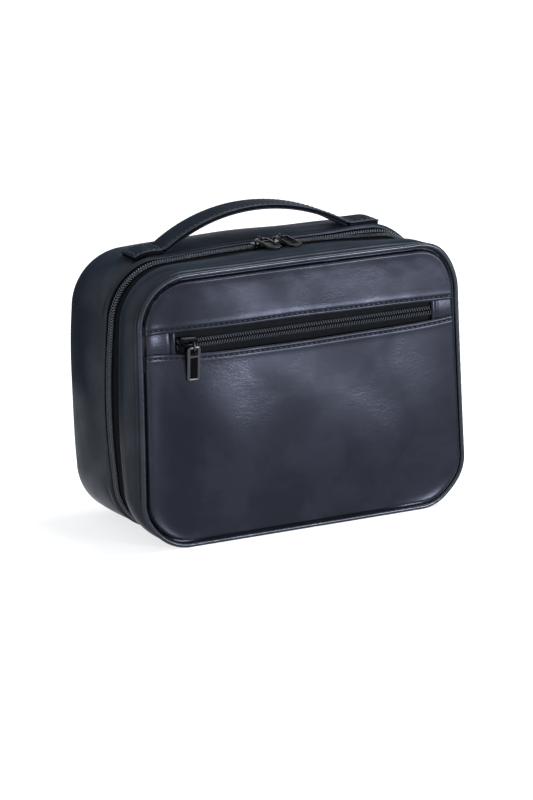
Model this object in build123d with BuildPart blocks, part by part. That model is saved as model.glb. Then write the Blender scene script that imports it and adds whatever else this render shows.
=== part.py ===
"""A soft leather toiletry bag: a deep shell and a shallower lid, zipped together round the gusset.

The bag stands on its base with the lid to the front, -Y. X runs across the bag, Y from front to
back and Z up. The origin is on the base, half way across the bag, under the shell. All in mm.
"""

import os
from math import asin, cos, degrees, floor, hypot, radians, sin

from build123d import *

# Outer form: one rounded outline from front to back, with a soft back edge
body_width = 240.5
body_height = 187.3
body_corner_radius = 37.5
back_edge_radius = 12.0
back_seam_inset = 14.0

# Depths along Y
zip_y = -13.5
lid_depth = 45.5
shell_depth = 71.0

# Sheet thicknesses
leather = 1.2
panel_leather = 1.4
turned_hem = 1.4
tape_thickness = 0.7
lining = 0.6
pocket_cloth = 0.5
hem_width = 7.0

# Piping round the front edge
piping_diameter = 4.0
cord_chamfer = 1.2
seam_allowance = 7.0

# Coil zips
chain_half_width = 3.5
coil_gap = 0.8
coil_height = 2.2
tape_gap = 1.2
shell_tape_shown = 2.7
lid_tape_shown = 11.0
coil_pitch = 10.0
coil_notch = 2.6

# Cloth hinge under the bag, between the ends of the zip
hinge_length = 150.0
hinge_end_gap = 0.5

# Front pocket
window_left_margin = 29.25
window_right_margin = 23.25
pocket_zip_z = 137.5
window_height = 15.8
pocket_tape_width = 15.0
pocket_hem_drop = 1.0
tab_piece_sink = 0.4
tab_fold_width = 2.4
tab_fold_sink = 0.1
pocket_end_margin = 4.0

# Zip sliders, in their own frame: U along the zip, V across it, W out of the bag from the tape
slider_length = 13.0
slider_mouth_width = 11.0
slider_tail_width = 9.4
slider_corner = 1.2
plate_thickness = 1.3
slider_clearance = 0.3
skirt_clearance = 0.35
post_thickness = 0.4
post_length = 3.0
bridge_length = 9.5
bridge_foot = 1.6
bridge_width = 1.6
bridge_bar = 1.2
bridge_opening = 2.0
bridge_corner = 0.8
slider_parting = 0.4
end_clearance = 0.7

# Pullers: a link round the bridge, and a plate with a window that the link goes through
link_wire = 1.0
link_clearance = 0.15
link_breadth = 1.4
link_reach = 2.6
tab_width = 8.6
tab_plate = 1.6
tab_length = 23.0
tab_bar = 1.2
tab_corner = 0.7
tab_window_width = 5.0
tab_window_length = 4.8
tab_groove_width = 2.6
tab_groove_depth = 0.4
tab_groove_margin = 1.0
pocket_tab_rest_gap = 0.35
top_tab_rest_gap = 1.0
main_link_offset = 0.8
pocket_link_offset = 2.2

# Handle: a strap in three layers, on a pad at each end
handle_width = 22.0
handle_front_gap = 11.0
handle_foot_inset = 6.5
handle_rise = 21.2
handle_bend_radius = 16.0
anchor_wrap = 15.5
strap_top_thickness = 1.4
strap_core_thickness = 1.0
strap_under_thickness = 1.2
pad_gap = 1.0
core_margin = 2.0
backing_thickness = 1.0
backing_margin = 3.0

# Slip pocket inside the lid
inner_pocket_side_margin = 30.25
inner_pocket_bottom = 18.0
inner_pocket_top = 104.0
inner_pocket_corner = 8.0
inner_pocket_cloth = 0.6
elastic_width = 10.0
elastic_thickness = 1.0

# Layers, counted inwards from the outer surface
tape_inset = leather + turned_hem
lining_inset = tape_inset + tape_thickness
inner_inset = lining_inset + lining
coil_inset = tape_inset - coil_height
foam = lining_inset - leather

# The pocket's window and the slip pocket follow the width of the bag
window_left = window_left_margin - body_width / 2
window_right = body_width / 2 - window_right_margin
inner_pocket_width = body_width - 2 * inner_pocket_side_margin

# Depths that follow from the layers
face_y = zip_y - lid_depth
back_y = zip_y + shell_depth
band_front_y = face_y + piping_diameter
panel_back_y = face_y + panel_leather
pocket_tape_y = panel_back_y + pocket_hem_drop
pocket_lining_y = band_front_y + leather
lid_foam_y = pocket_lining_y + pocket_cloth
lid_lining_y = lid_foam_y + foam
lid_inner_y = lid_lining_y + lining
lid_edge_y = zip_y - chain_half_width - lid_tape_shown
shell_edge_y = zip_y + chain_half_width + shell_tape_shown
lid_hem_y = lid_edge_y - hem_width
shell_hem_y = shell_edge_y + hem_width
handle_front_y = zip_y + handle_front_gap
handle_centre_y = handle_front_y + handle_width / 2


def block(y0, y1, inset):
    """The solid between two depths whose sides lie a given inset inside the outer surface."""
    with BuildPart() as solid:
        with BuildSketch(Plane.XZ.offset(-y1)):
            with Locations((0, body_height / 2)):
                RectangleRounded(body_width - 2 * inset, body_height - 2 * inset, body_corner_radius - inset)
        extrude(amount=y1 - y0)
    return solid.part


def band(y0, y1, outer_inset, inner_inset):
    """A ring of sheet round the bag between two depths and two insets."""
    outside = block(y0, y1, outer_inset)
    inside = block(y0, y1, inner_inset)
    with BuildPart() as ring:
        add(outside)
        add(inside, mode=Mode.SUBTRACT)
    return ring.part


def bevelled_block(y0, y1, inset, bevel):
    """A block with its back edge cut off at 45 degrees, as the inner layers are at the back seam."""
    body = block(y0, y1, inset)
    with BuildPart() as solid:
        add(body)
        chamfer(solid.faces().sort_by(Axis.Y)[-1].edges(), length=bevel)
    return solid.part


def hollow(outside, inside):
    """A layer left between two solids, the inner one open at the mouth of the outer one."""
    with BuildPart() as layer:
        add(outside)
        add(inside, mode=Mode.SUBTRACT)
    return layer.part


def without_hinge(ring):
    """A ring of the zip, cut away under the bag where the cloth hinge lies."""
    with BuildPart() as open_ring:
        add(ring)
        with Locations((0, zip_y, 0)):
            Box(hinge_length, 2 * lid_depth, 2 * body_corner_radius, mode=Mode.SUBTRACT)
    return open_ring.part


def save(part, name):
    """Labels a finished piece and writes its STEP file."""
    part.label = name
    export_step(part, f"parts/{name}.step")


os.makedirs("parts", exist_ok=True)


# Shell leather: the gusset with its turned hem and rounded back edge, and the panel let into the back

back_panel = block(back_y - leather, back_y, back_seam_inset)
save(back_panel, "back_panel")

shell_body = block(shell_edge_y, back_y, 0)
shell_room = bevelled_block(shell_edge_y, back_y - leather, leather, back_edge_radius - leather)
shell_hem = band(shell_edge_y, shell_hem_y, leather, tape_inset)
with BuildPart() as shell_gusset:
    add(shell_body)
    fillet(shell_gusset.faces().sort_by(Axis.Y)[-1].edges(), radius=back_edge_radius)
    add(shell_room, mode=Mode.SUBTRACT)
    add(back_panel, mode=Mode.SUBTRACT)
    add(shell_hem)
save(shell_gusset.part, "shell_gusset")


# Shell padding with a stiff plate let in under each end of the handle, a board at the back, and lining

handle_foot_x = body_width / 2 - body_corner_radius - handle_foot_inset
backing_half = (handle_foot_inset + anchor_wrap) / 2
backing_layer = band(handle_front_y, handle_front_y + handle_width, leather, leather + backing_thickness)
handle_backings = []
for side, side_name in ((-1, "left"), (1, "right")):
    with BuildPart() as backing:
        add(backing_layer)
        with Locations((side * (handle_foot_x + backing_half), handle_centre_y, body_height)):
            Box(2 * backing_half, handle_width - 2 * backing_margin, body_height, mode=Mode.INTERSECT)
    save(backing.part, f"handle_backing_{side_name}")
    handle_backings.append(backing.part)

padding_ring = band(shell_hem_y, back_y - back_edge_radius, leather, lining_inset)
with BuildPart() as shell_foam:
    add(padding_ring)
    for backing_part in handle_backings:
        add(backing_part, mode=Mode.SUBTRACT)
save(shell_foam.part, "shell_foam")

save(block(back_y - lining_inset, back_y - leather, back_edge_radius), "back_board")

lining_bevel = back_edge_radius + leather - 2 * lining_inset
shell_lining = hollow(
    bevelled_block(shell_edge_y, back_y - lining_inset, lining_inset, lining_bevel),
    bevelled_block(shell_edge_y, back_y - inner_inset, inner_inset, lining_bevel),
)
save(shell_lining, "shell_lining")


# Lid leather: the gusset with its hem at the zip and the flange that is caught in the front seam

gusset_band = band(band_front_y, lid_edge_y, 0, leather)
gusset_hem = band(lid_hem_y, lid_edge_y, leather, tape_inset)
gusset_flange = band(band_front_y, pocket_lining_y, leather, seam_allowance + piping_diameter)
with BuildPart() as lid_gusset:
    add(gusset_band)
    add(gusset_hem)
    add(gusset_flange)
save(lid_gusset.part, "lid_gusset")

save(block(pocket_lining_y, lid_foam_y, leather), "pocket_lining")
save(block(lid_foam_y, lid_lining_y, leather), "lid_board")
lid_lining = hollow(block(lid_lining_y, lid_edge_y, lining_inset), block(lid_inner_y, lid_edge_y, inner_inset))
save(lid_lining, "lid_lining")

with BuildPart() as inner_pocket:
    with BuildSketch(Plane.XZ.offset(-lid_inner_y)) as pocket_shape:
        with Locations((0, (inner_pocket_bottom + inner_pocket_top) / 2)):
            Rectangle(inner_pocket_width, inner_pocket_top - inner_pocket_bottom)
        chamfer(pocket_shape.vertices().group_by(Axis.Y)[0], length=inner_pocket_corner)
    extrude(amount=-inner_pocket_cloth)
save(inner_pocket.part, "inner_pocket")

with BuildPart() as inner_pocket_elastic:
    with BuildSketch(Plane.XZ.offset(-lid_inner_y - inner_pocket_cloth)):
        with Locations((0, inner_pocket_top - elastic_width / 2)):
            Rectangle(inner_pocket_width, elastic_width)
    extrude(amount=-elastic_thickness)
save(inner_pocket_elastic.part, "inner_pocket_elastic")


# Piping: a cord in a folded leather strip, whose flat flange is caught in the front seam

cord_ring = band(face_y, band_front_y, 0, piping_diameter)
cord_flange = band(panel_back_y, band_front_y, piping_diameter - cord_chamfer, piping_diameter + seam_allowance)
with BuildPart() as front_piping:
    add(cord_ring)
    chamfer(front_piping.faces().sort_by(Axis.Y)[0].edges(), length=cord_chamfer)
    add(cord_flange)
save(front_piping.part, "front_piping")


# Front panels: one above the pocket's window and one below it, each with its edge turned under

window_bottom = pocket_zip_z - window_height / 2
window_top = pocket_zip_z + window_height / 2
window_middle_x = (window_left + window_right) / 2
hem_length = window_right - window_left + 2 * pocket_end_margin
panel_spans = {
    "front_panel_upper": (window_top, body_height, window_top + hem_width / 2),
    "front_panel_lower": (0, window_bottom, window_bottom - hem_width / 2),
}
front_sheet = block(face_y, panel_back_y, piping_diameter)
for name, (low, high, hem_z) in panel_spans.items():
    with BuildPart() as panel:
        add(front_sheet)
        with Locations((0, panel_back_y, (low + high) / 2)):
            Box(body_width, 2 * panel_leather, high - low, mode=Mode.INTERSECT)
        with BuildSketch(Plane.XZ.offset(-panel_back_y)):
            with Locations((window_middle_x, hem_z)):
                Rectangle(hem_length, hem_width)
        extrude(amount=-pocket_hem_drop)
    save(panel.part, name)


# Pocket zip: two tapes, two rows of coil, and the leather pieces that close the ends of the window

for side, side_name in ((1, "upper"), (-1, "lower")):
    with BuildPart() as tape:
        with BuildSketch(Plane.XZ.offset(-pocket_tape_y)):
            with Locations((window_middle_x, pocket_zip_z + side * (tape_gap / 2 + pocket_tape_width) / 2)):
                Rectangle(hem_length, pocket_tape_width - tape_gap / 2)
        extrude(amount=-tape_thickness)
    save(tape.part, f"pocket_tape_{side_name}")

    row_length = window_right - window_left
    row_width = chain_half_width - coil_gap / 2
    row_z = pocket_zip_z + side * (chain_half_width + coil_gap / 2) / 2
    with BuildPart() as coil:
        with BuildSketch(Plane.XZ.offset(-pocket_tape_y)):
            with Locations((window_middle_x, row_z)):
                Rectangle(row_length, row_width)
        extrude(amount=coil_height)
        with Locations((window_middle_x, pocket_tape_y - coil_height, row_z)):
            with GridLocations(coil_pitch, 0, floor(row_length / coil_pitch), 1):
                Box(coil_notch, coil_notch, 2 * row_width, rotation=(0, 45, 0), mode=Mode.SUBTRACT)
    save(coil.part, f"pocket_coil_{side_name}")

pocket_side_x = body_width / 2 - piping_diameter
for side_name, low, high, fold_x in (
    ("left", -pocket_side_x, window_left, window_left - tab_fold_width / 2),
    ("right", window_right, pocket_side_x, window_right + tab_fold_width / 2),
):
    with BuildPart() as end_piece:
        with BuildSketch(Plane.XZ.offset(-panel_back_y)):
            with Locations(((low + high) / 2, pocket_zip_z)):
                Rectangle(high - low, window_height)
        extrude(amount=panel_leather - tab_piece_sink)
        with BuildSketch(Plane.XZ.offset(-pocket_tape_y)):
            with Locations((fold_x, pocket_zip_z)):
                Rectangle(tab_fold_width, window_height)
        extrude(amount=pocket_tape_y - face_y - tab_fold_sink)
    save(end_piece.part, f"pocket_tab_{side_name}")


# Main zip: a tape and a row of coil on each side of the opening, and the cloth hinge under the bag


def groove_places(y):
    """Places evenly spaced round the zip at a depth, with X out of the bag and Z to the front."""
    with BuildSketch(Plane.XZ.offset(-y)) as outline:
        with Locations((0, body_height / 2)):
            RectangleRounded(
                body_width - 2 * coil_inset, body_height - 2 * coil_inset, body_corner_radius - coil_inset
            )
    ring = outline.sketch.faces()[0].outer_wire()
    count = floor(ring.length / coil_pitch)
    places = []
    for step in range(count):
        distance = (step + 0.5) * ring.length / count
        point = ring.position_at(distance, position_mode=PositionMode.LENGTH)
        outward = ring.tangent_at(distance, position_mode=PositionMode.LENGTH).cross(Vector(0, 1, 0))
        if outward.dot(point - Vector(0, y, body_height / 2)) < 0:
            outward = -outward
        if point.Z > body_corner_radius or abs(point.X) > hinge_length / 2 + coil_notch:
            places.append(Location(Plane(origin=point, x_dir=outward, z_dir=(0, -1, 0))))
    return places


for body_name, near, far, tape_far in (
    ("shell", zip_y + coil_gap / 2, zip_y + chain_half_width, shell_hem_y),
    ("lid", zip_y - coil_gap / 2, zip_y - chain_half_width, lid_hem_y),
):
    tape_near = zip_y + (tape_gap / 2 if body_name == "shell" else -tape_gap / 2)
    zip_tape = without_hinge(band(*sorted((tape_near, tape_far)), tape_inset, lining_inset))
    save(zip_tape, f"{body_name}_zip_tape")

    coil_strip = without_hinge(band(*sorted((near, far)), coil_inset, tape_inset))
    with BuildPart() as zip_coil:
        add(coil_strip)
        with Locations(groove_places((near + far) / 2)):
            Box(coil_notch, coil_notch, 2 * chain_half_width, rotation=(0, 0, 45), mode=Mode.SUBTRACT)
    save(zip_coil.part, f"{body_name}_zip_coil")

with BuildPart() as hinge_strip:
    with BuildSketch(Plane.XY.offset(tape_inset)):
        with Locations((0, (lid_hem_y + shell_hem_y) / 2)):
            Rectangle(hinge_length - 2 * hinge_end_gap, shell_hem_y - lid_hem_y)
    extrude(amount=tape_thickness)
save(hinge_strip.part, "hinge_strip")


# Zip sliders and pullers

plate_bottom = coil_height + slider_clearance
plate_top = plate_bottom + plate_thickness
under_plate_top = -tape_thickness - slider_clearance
pivot_height = plate_top + bridge_opening + bridge_bar / 2
link_inner_radius = hypot(bridge_width, bridge_bar) / 2 + link_clearance
link_outer_radius = link_inner_radius + link_wire
puller_reach = link_reach - tab_bar / 2 + tab_length


def slider_plate(frame, height, mouth, thickness):
    """One of a slider's two plates, wider at the mouth, where the two rows part."""
    with BuildPart() as plate:
        with BuildSketch(frame.offset(height)) as outline:
            with BuildLine():
                Polyline(
                    (mouth * slider_length / 2, slider_mouth_width / 2),
                    (0, slider_mouth_width / 2),
                    (-mouth * slider_length / 2, slider_tail_width / 2),
                    (-mouth * slider_length / 2, -slider_tail_width / 2),
                    (0, -slider_mouth_width / 2),
                    (mouth * slider_length / 2, -slider_mouth_width / 2),
                    close=True,
                )
            make_face()
            ends = outline.vertices().group_by(Axis.X)
            chamfer(ends[0] + ends[-1], length=slider_corner)
        extrude(amount=thickness)
    return plate.part


def zip_slider(frame, mouth, skirts):
    """Two plates joined by a post between the rows, with a bridge on top and skirts at the sides."""
    top_plate = slider_plate(frame, plate_bottom, mouth, plate_thickness)
    under_plate = slider_plate(frame, under_plate_top, mouth, -plate_thickness)
    side_plane = Plane(origin=frame.origin, x_dir=frame.x_dir, z_dir=-frame.y_dir)
    skirt_inner = chain_half_width + skirt_clearance
    skirt_width = slider_tail_width / 2 - skirt_inner
    with BuildPart() as slider:
        add(top_plate)
        add(under_plate)
        with Locations(frame):
            with Locations((mouth * (slider_length - post_length) / 2 - mouth * slider_corner, 0, 0)):
                Box(
                    post_length,
                    post_thickness,
                    2 * max(plate_bottom, -under_plate_top),
                    mode=Mode.ADD,
                )
            for side in skirts:
                skirt_height = plate_bottom - skirt_clearance
                with Locations((0, side * (skirt_inner + skirt_width / 2), skirt_clearance + skirt_height / 2)):
                    Box(slider_length - 2 * slider_corner, skirt_width, skirt_height)
        with BuildSketch(side_plane) as bridge:
            with Locations((0, plate_top)):
                Rectangle(bridge_length, bridge_opening + bridge_bar, align=(Align.CENTER, Align.MIN))
            chamfer(bridge.vertices().group_by(Axis.Y)[-1], length=bridge_corner)
            with Locations((0, plate_top)):
                Rectangle(
                    bridge_length - 2 * bridge_foot,
                    bridge_opening,
                    align=(Align.CENTER, Align.MIN),
                    mode=Mode.SUBTRACT,
                )
        extrude(amount=bridge_width / 2, both=True)
    return slider.part


def puller_frame(frame, link_offset, tilt):
    """The frame of a puller at its pivot, with -Y along the plate and Z out of its face."""
    pivot = frame.origin + frame.x_dir * link_offset + frame.z_dir * pivot_height
    face = frame.z_dir * cos(tilt) - frame.y_dir * sin(tilt)
    return Plane(origin=pivot, x_dir=frame.x_dir, z_dir=face)


def puller_link(frame):
    """A closed link round the slider's bridge and the top bar of the plate."""
    link_plane = Plane(origin=frame.origin, x_dir=-frame.y_dir, z_dir=frame.x_dir)
    with BuildPart() as link:
        with BuildSketch(link_plane) as loop:
            with Locations((link_reach / 2, 0)):
                Rectangle(link_reach + 2 * link_outer_radius, 2 * link_outer_radius)
            chamfer(loop.vertices(), length=link_wire)
            with Locations((link_reach / 2, 0)):
                Rectangle(link_reach + 2 * link_inner_radius, 2 * link_inner_radius, mode=Mode.SUBTRACT)
        extrude(amount=link_breadth / 2, both=True)
    return link.part


def puller_plate(frame):
    """A plate with a window at its top and a shallow channel down each face."""
    plate_top_y = -(link_reach - tab_bar / 2)
    window_end = plate_top_y - tab_bar - tab_window_length
    groove_length = plate_top_y - tab_length + tab_groove_margin - (window_end - tab_groove_margin)
    with BuildPart() as plate:
        with BuildSketch(frame) as outline:
            with Locations((0, plate_top_y)):
                Rectangle(tab_width, tab_length, align=(Align.CENTER, Align.MAX))
            chamfer(outline.vertices(), length=tab_corner)
            with Locations((0, plate_top_y - tab_bar)):
                Rectangle(
                    tab_window_width, tab_window_length, align=(Align.CENTER, Align.MAX), mode=Mode.SUBTRACT
                )
        extrude(amount=tab_plate / 2, both=True)
        with Locations(frame):
            with Locations(
                *[(0, window_end - tab_groove_margin + groove_length / 2, face * tab_plate / 2) for face in (-1, 1)]
            ):
                Box(tab_groove_width, -groove_length, 2 * tab_groove_depth, mode=Mode.SUBTRACT)
    return plate.part


def save_zip_pull(name, frame, mouth, skirts, link_offset, tilt):
    """Makes one slider with its link and puller."""
    pull_frame = puller_frame(frame, link_offset, tilt)
    save(zip_slider(frame, mouth, skirts), f"{name}_slider")
    save(puller_link(pull_frame), f"{name}_link")
    save(puller_plate(pull_frame), f"{name}_puller")


top_pivot_z = body_height - tape_inset + pivot_height
top_tilt = asin((top_pivot_z - body_height - top_tab_rest_gap - tab_plate / 2) / puller_reach)
for side, side_name in ((-1, "left"), (1, "right")):
    slider_x = side * (slider_length + slider_parting) / 2
    top_frame = Plane(origin=(slider_x, zip_y, body_height - tape_inset), x_dir=(1, 0, 0), z_dir=(0, 0, 1))
    save_zip_pull(f"main_{side_name}", top_frame, -side, (1,), side * main_link_offset, top_tilt)

pocket_pivot_gap = pivot_height - (pocket_tape_y - face_y)
pocket_tilt = asin((pocket_pivot_gap - pocket_tab_rest_gap - tab_plate / 2) / puller_reach)
pocket_slider_x = window_left + end_clearance + slider_length / 2
pocket_frame = Plane(origin=(pocket_slider_x, pocket_tape_y, pocket_zip_z), x_dir=(1, 0, 0), z_dir=(0, -1, 0))
save_zip_pull("pocket", pocket_frame, -1, (-1, 1), pocket_link_offset, pocket_tilt)


# Handle: an arched strap that lies along the top and a little way down each corner

arc_sum = (handle_foot_x**2 + handle_rise**2) / (2 * handle_rise)
crown_radius = arc_sum - handle_bend_radius
crown_z = body_height + handle_rise - crown_radius
bend_angle = degrees(asin(handle_foot_x / arc_sum))
corner_x = body_width / 2 - body_corner_radius
corner_z = body_height - body_corner_radius
wrap_angle = degrees(anchor_wrap / body_corner_radius)
strap_thickness = strap_under_thickness + strap_core_thickness + strap_top_thickness
break_x = handle_foot_x - handle_bend_radius * sin(radians(bend_angle / 2))


def strap_layer(low, high, width):
    """One layer of the strap over its whole length, between two heights above the bag."""
    ends = [
        (
            corner_x + (body_corner_radius + height) * sin(radians(wrap_angle)),
            corner_z + (body_corner_radius + height) * cos(radians(wrap_angle)),
        )
        for height in (low, high)
    ]
    with BuildPart() as layer:
        with BuildSketch(Plane.XZ.offset(-handle_centre_y)):
            with BuildLine():
                for height in (low, high):
                    top_z = body_height + height
                    CenterArc((0, crown_z), crown_radius + height, 90 - bend_angle, bend_angle)
                    CenterArc(
                        (handle_foot_x, body_height + handle_bend_radius),
                        handle_bend_radius - height,
                        270 - bend_angle,
                        bend_angle,
                    )
                    Line((handle_foot_x, top_z), (corner_x, top_z))
                    CenterArc((corner_x, corner_z), body_corner_radius + height, 90 - wrap_angle, wrap_angle)
                Line(*ends)
                mirror(about=Plane.YZ)
            make_face()
        extrude(amount=width / 2, both=True)
    return layer.part


def strap_span(layer, from_x, to_x):
    """The stretch of a strap layer between two places across the bag."""
    with BuildPart() as span:
        add(layer)
        with Locations(((from_x + to_x) / 2, handle_centre_y, body_height)):
            Box(to_x - from_x, 2 * handle_width, 2 * body_height, mode=Mode.INTERSECT)
    return span.part


pad_thickness = strap_under_thickness + strap_core_thickness
arch_half = break_x - pad_gap / 2
under_layer = strap_layer(0, strap_under_thickness, handle_width)
core_layer = strap_layer(strap_under_thickness, pad_thickness, handle_width - 2 * core_margin)
pad_layer = strap_layer(0, pad_thickness, handle_width)
save(strap_layer(pad_thickness, strap_thickness, handle_width), "handle_strap")
save(strap_span(core_layer, -arch_half, arch_half), "handle_core")
save(strap_span(under_layer, -arch_half, arch_half), "handle_under_strap")
save(strap_span(pad_layer, -body_width / 2, -break_x - pad_gap / 2), "handle_pad_left")
save(strap_span(pad_layer, break_x + pad_gap / 2, body_width / 2), "handle_pad_right")
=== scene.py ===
"""A soft black toiletry bag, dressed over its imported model.

Shapes are worked out in millimetres, with X across the bag, Y from the lid to the back and Z up,
and turned into metres when a mesh is made. An inset is a depth under the bag's outer surface.
"""
import math

import bmesh
import bpy
import numpy as np
from mathutils import Matrix, Vector


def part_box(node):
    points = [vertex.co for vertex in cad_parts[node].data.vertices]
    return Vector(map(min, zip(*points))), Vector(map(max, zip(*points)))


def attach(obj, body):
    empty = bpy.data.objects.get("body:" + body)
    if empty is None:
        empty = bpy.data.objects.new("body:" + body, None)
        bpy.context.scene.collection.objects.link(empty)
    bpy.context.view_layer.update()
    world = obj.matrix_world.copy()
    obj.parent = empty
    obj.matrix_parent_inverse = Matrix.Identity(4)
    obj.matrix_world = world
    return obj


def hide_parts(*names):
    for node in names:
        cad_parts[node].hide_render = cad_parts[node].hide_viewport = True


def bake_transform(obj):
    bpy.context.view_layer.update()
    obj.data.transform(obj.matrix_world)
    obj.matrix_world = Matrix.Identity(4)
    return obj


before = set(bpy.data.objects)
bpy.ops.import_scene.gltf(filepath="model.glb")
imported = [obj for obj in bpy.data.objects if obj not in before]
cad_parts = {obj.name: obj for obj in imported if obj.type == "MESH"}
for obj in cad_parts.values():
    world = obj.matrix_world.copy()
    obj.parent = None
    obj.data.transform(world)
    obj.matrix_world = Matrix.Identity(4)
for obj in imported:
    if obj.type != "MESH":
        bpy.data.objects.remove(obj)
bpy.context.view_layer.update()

scene = bpy.context.scene


# Studio. The bag stands on a pale floor in plain soft light, seen from the left and a little above.
# The camera stands where the photograph was taken from, worked out from the bag's own edges.

MM = 0.001
PICTURE_WIDTH = 533
PICTURE_HEIGHT = 800
SENSOR = 36.0
view_azimuth = math.radians(-25.84)
view_elevation = math.radians(13.68)
view_roll = math.radians(1.86)
view_distance = 2396.3
focal_pixels = 3600.0
straight_ahead = (303.63, 393.64)
viewed_point = Vector((0, -57.5, 92.5))

backwards = Vector(
    (
        math.sin(view_azimuth) * math.cos(view_elevation),
        -math.cos(view_azimuth) * math.cos(view_elevation),
        math.sin(view_elevation),
    )
)
level = Vector((math.cos(view_azimuth), math.sin(view_azimuth), 0))
upwards = backwards.cross(level)
picture_right = level * math.cos(view_roll) - upwards * math.sin(view_roll)
picture_up = level * math.sin(view_roll) + upwards * math.cos(view_roll)
sight = (
    -backwards
    + picture_right * ((PICTURE_WIDTH / 2 - straight_ahead[0]) / focal_pixels)
    + picture_up * ((straight_ahead[1] - PICTURE_HEIGHT / 2) / focal_pixels)
).normalized()
camera_up = (picture_up - sight * picture_up.dot(sight)).normalized()
camera_place = (viewed_point + backwards * view_distance) * MM
camera_turn = Matrix((sight.cross(camera_up), camera_up, -sight)).transposed()
lens = bpy.data.cameras.new("camera")
lens.sensor_width = SENSOR
lens.lens = focal_pixels / PICTURE_HEIGHT * SENSOR
camera = bpy.data.objects.new("camera", lens)
camera.matrix_world = Matrix.Translation(camera_place) @ camera_turn.to_4x4()
scene.collection.objects.link(camera)
scene.camera = camera
scene.view_settings.view_transform = "Standard"


def put(tree, kind, inputs=None, **settings):
    """Adds a shader node, sets its settings, and gives each input a value or a link."""
    made = tree.nodes.new("ShaderNode" + kind)
    for name, value in settings.items():
        setattr(made, name, value)
    for name, value in (inputs or {}).items():
        if isinstance(value, bpy.types.NodeSocket):
            tree.links.new(value, made.inputs[name])
        else:
            made.inputs[name].default_value = value
    return made


def maths(tree, operation, *values):
    """One arithmetic node, with numbers or sockets as its inputs."""
    return put(tree, "Math", dict(enumerate(values)), operation=operation).outputs[0]


def seen_directly(tree):
    """1 for rays that show the background: from the camera, off gloss and through clear things."""
    path = put(tree, "LightPath").outputs
    either = maths(tree, "MAXIMUM", path["Is Camera Ray"], path["Is Glossy Ray"])
    return maths(tree, "MAXIMUM", either, path["Is Transmission Ray"])


room_light = 0.34
world = bpy.data.worlds.new("studio")
scene.world = world
world.use_nodes = True
room = world.node_tree
room.nodes.clear()
soft_room = put(room, "Background", {"Color": (0.9, 0.94, 1.0, 1), "Strength": room_light})
white_room = put(room, "Background", {"Color": (1, 1, 1, 1), "Strength": 1.0})
room_mix = put(room, "MixShader", {0: seen_directly(room), 1: soft_room.outputs[0], 2: white_room.outputs[0]})
put(room, "OutputWorld", {"Surface": room_mix.outputs[0]})

floor_half = 12.0
floor_height = -0.0002
floor_glow = 0.72
floor_mesh = bpy.data.meshes.new("floor")
floor_signs = ((-1, -1), (1, -1), (1, 1), (-1, 1))
floor_corners = [(x * floor_half, y * floor_half, floor_height) for x, y in floor_signs]
floor_mesh.from_pydata(floor_corners, [], [(0, 1, 2, 3)])
floor = bpy.data.objects.new("floor", floor_mesh)
scene.collection.objects.link(floor)
floor_white = bpy.data.materials.new("pale_floor")
floor_white.use_nodes = True
tree = floor_white.node_tree
tree.nodes.clear()
matt = put(tree, "BsdfDiffuse", {"Color": (0.82, 0.82, 0.82, 1)})
glow = put(tree, "Emission", {"Color": (1, 1, 1, 1), "Strength": floor_glow})
glowing = put(tree, "AddShader", {0: matt.outputs[0], 1: glow.outputs[0]})
floor_mix = put(tree, "MixShader", {0: seen_directly(tree), 1: matt.outputs[0], 2: glowing.outputs[0]})
put(tree, "OutputMaterial", {"Surface": floor_mix.outputs[0]})
floor_mesh.materials.append(floor_white)


def softbox(name, place, width, height, power, colour):
    """An area light at a place in metres that faces the middle of the bag."""
    light = bpy.data.lights.new(name, "AREA")
    light.shape = "RECTANGLE"
    light.size = width
    light.size_y = height
    light.energy = power
    light.color = colour
    lamp = bpy.data.objects.new(name, light)
    toward = Vector((0, 0, 0.1)) - Vector(place)
    lamp.rotation_mode = "QUATERNION"
    lamp.rotation_quaternion = toward.to_track_quat("-Z", "Y")
    lamp.location = place
    lamp.visible_camera = False
    scene.collection.objects.link(lamp)


softbox("front_light", (1.02, -1.95, 0.24), 0.75, 0.30, 38, (0.92, 0.95, 1.0))
softbox("top_light", (0.80, -0.22, 1.8), 0.5, 1.45, 27, (0.92, 0.96, 1.0))
softbox("side_light", (-2.1, -0.35, 0.22), 1.1, 0.4, 6.5, (0.92, 0.96, 1.0))


# Shell gusset. The deep half's band of black leather-look sheet, its edge turned in beside the zip and
# padded with foam. It rolls over to the back, where a seam joins it to the back panel.


def edges_of(node):
    """The low and the high corner of a plain solid, in millimetres."""
    return [np.array(corner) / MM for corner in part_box(node)]


shell_low, shell_high = edges_of("shell_gusset")
zip_y = (edges_of("shell_zip_coil")[0][1] + edges_of("lid_zip_coil")[1][1]) / 2
handle_y = (edges_of("handle_strap")[0][1] + edges_of("handle_strap")[1][1]) / 2
body_width = shell_high[0] - shell_low[0]
body_top = shell_high[2]
front_y = edges_of("front_piping")[0][1]
back_y = shell_high[1]
shell_edge = shell_low[1]
lid_edge = edges_of("lid_gusset")[1][1]
tape_inset = shell_high[0] - edges_of("shell_zip_tape")[1][0]
back_radius = 10.0
back_seam = 12.5
edge_roll = 1.0
leather_thickness = 1.7
hem_width = 8.0
shell_puff = 1.1

# The outline's sizes at three depths: near the front, at the zip and near the back.
STATIONS = (front_y + 4, zip_y, back_y - 4.3)
WIDTHS = (body_width - 4.1, body_width - 0.2, body_width + 0.8)
LOWS = (0.9, 0.7, 0.3)
HIGHS = (body_top - 4.6, body_top - 1.9, body_top - 3.0)
RADII = (33.5, 40.5, 37.5)
ARCHES = (0.5, 2.6, 1.2)
BOWS = (0.0, 3.0, 1.6)
FLARE = 0.0285

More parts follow.
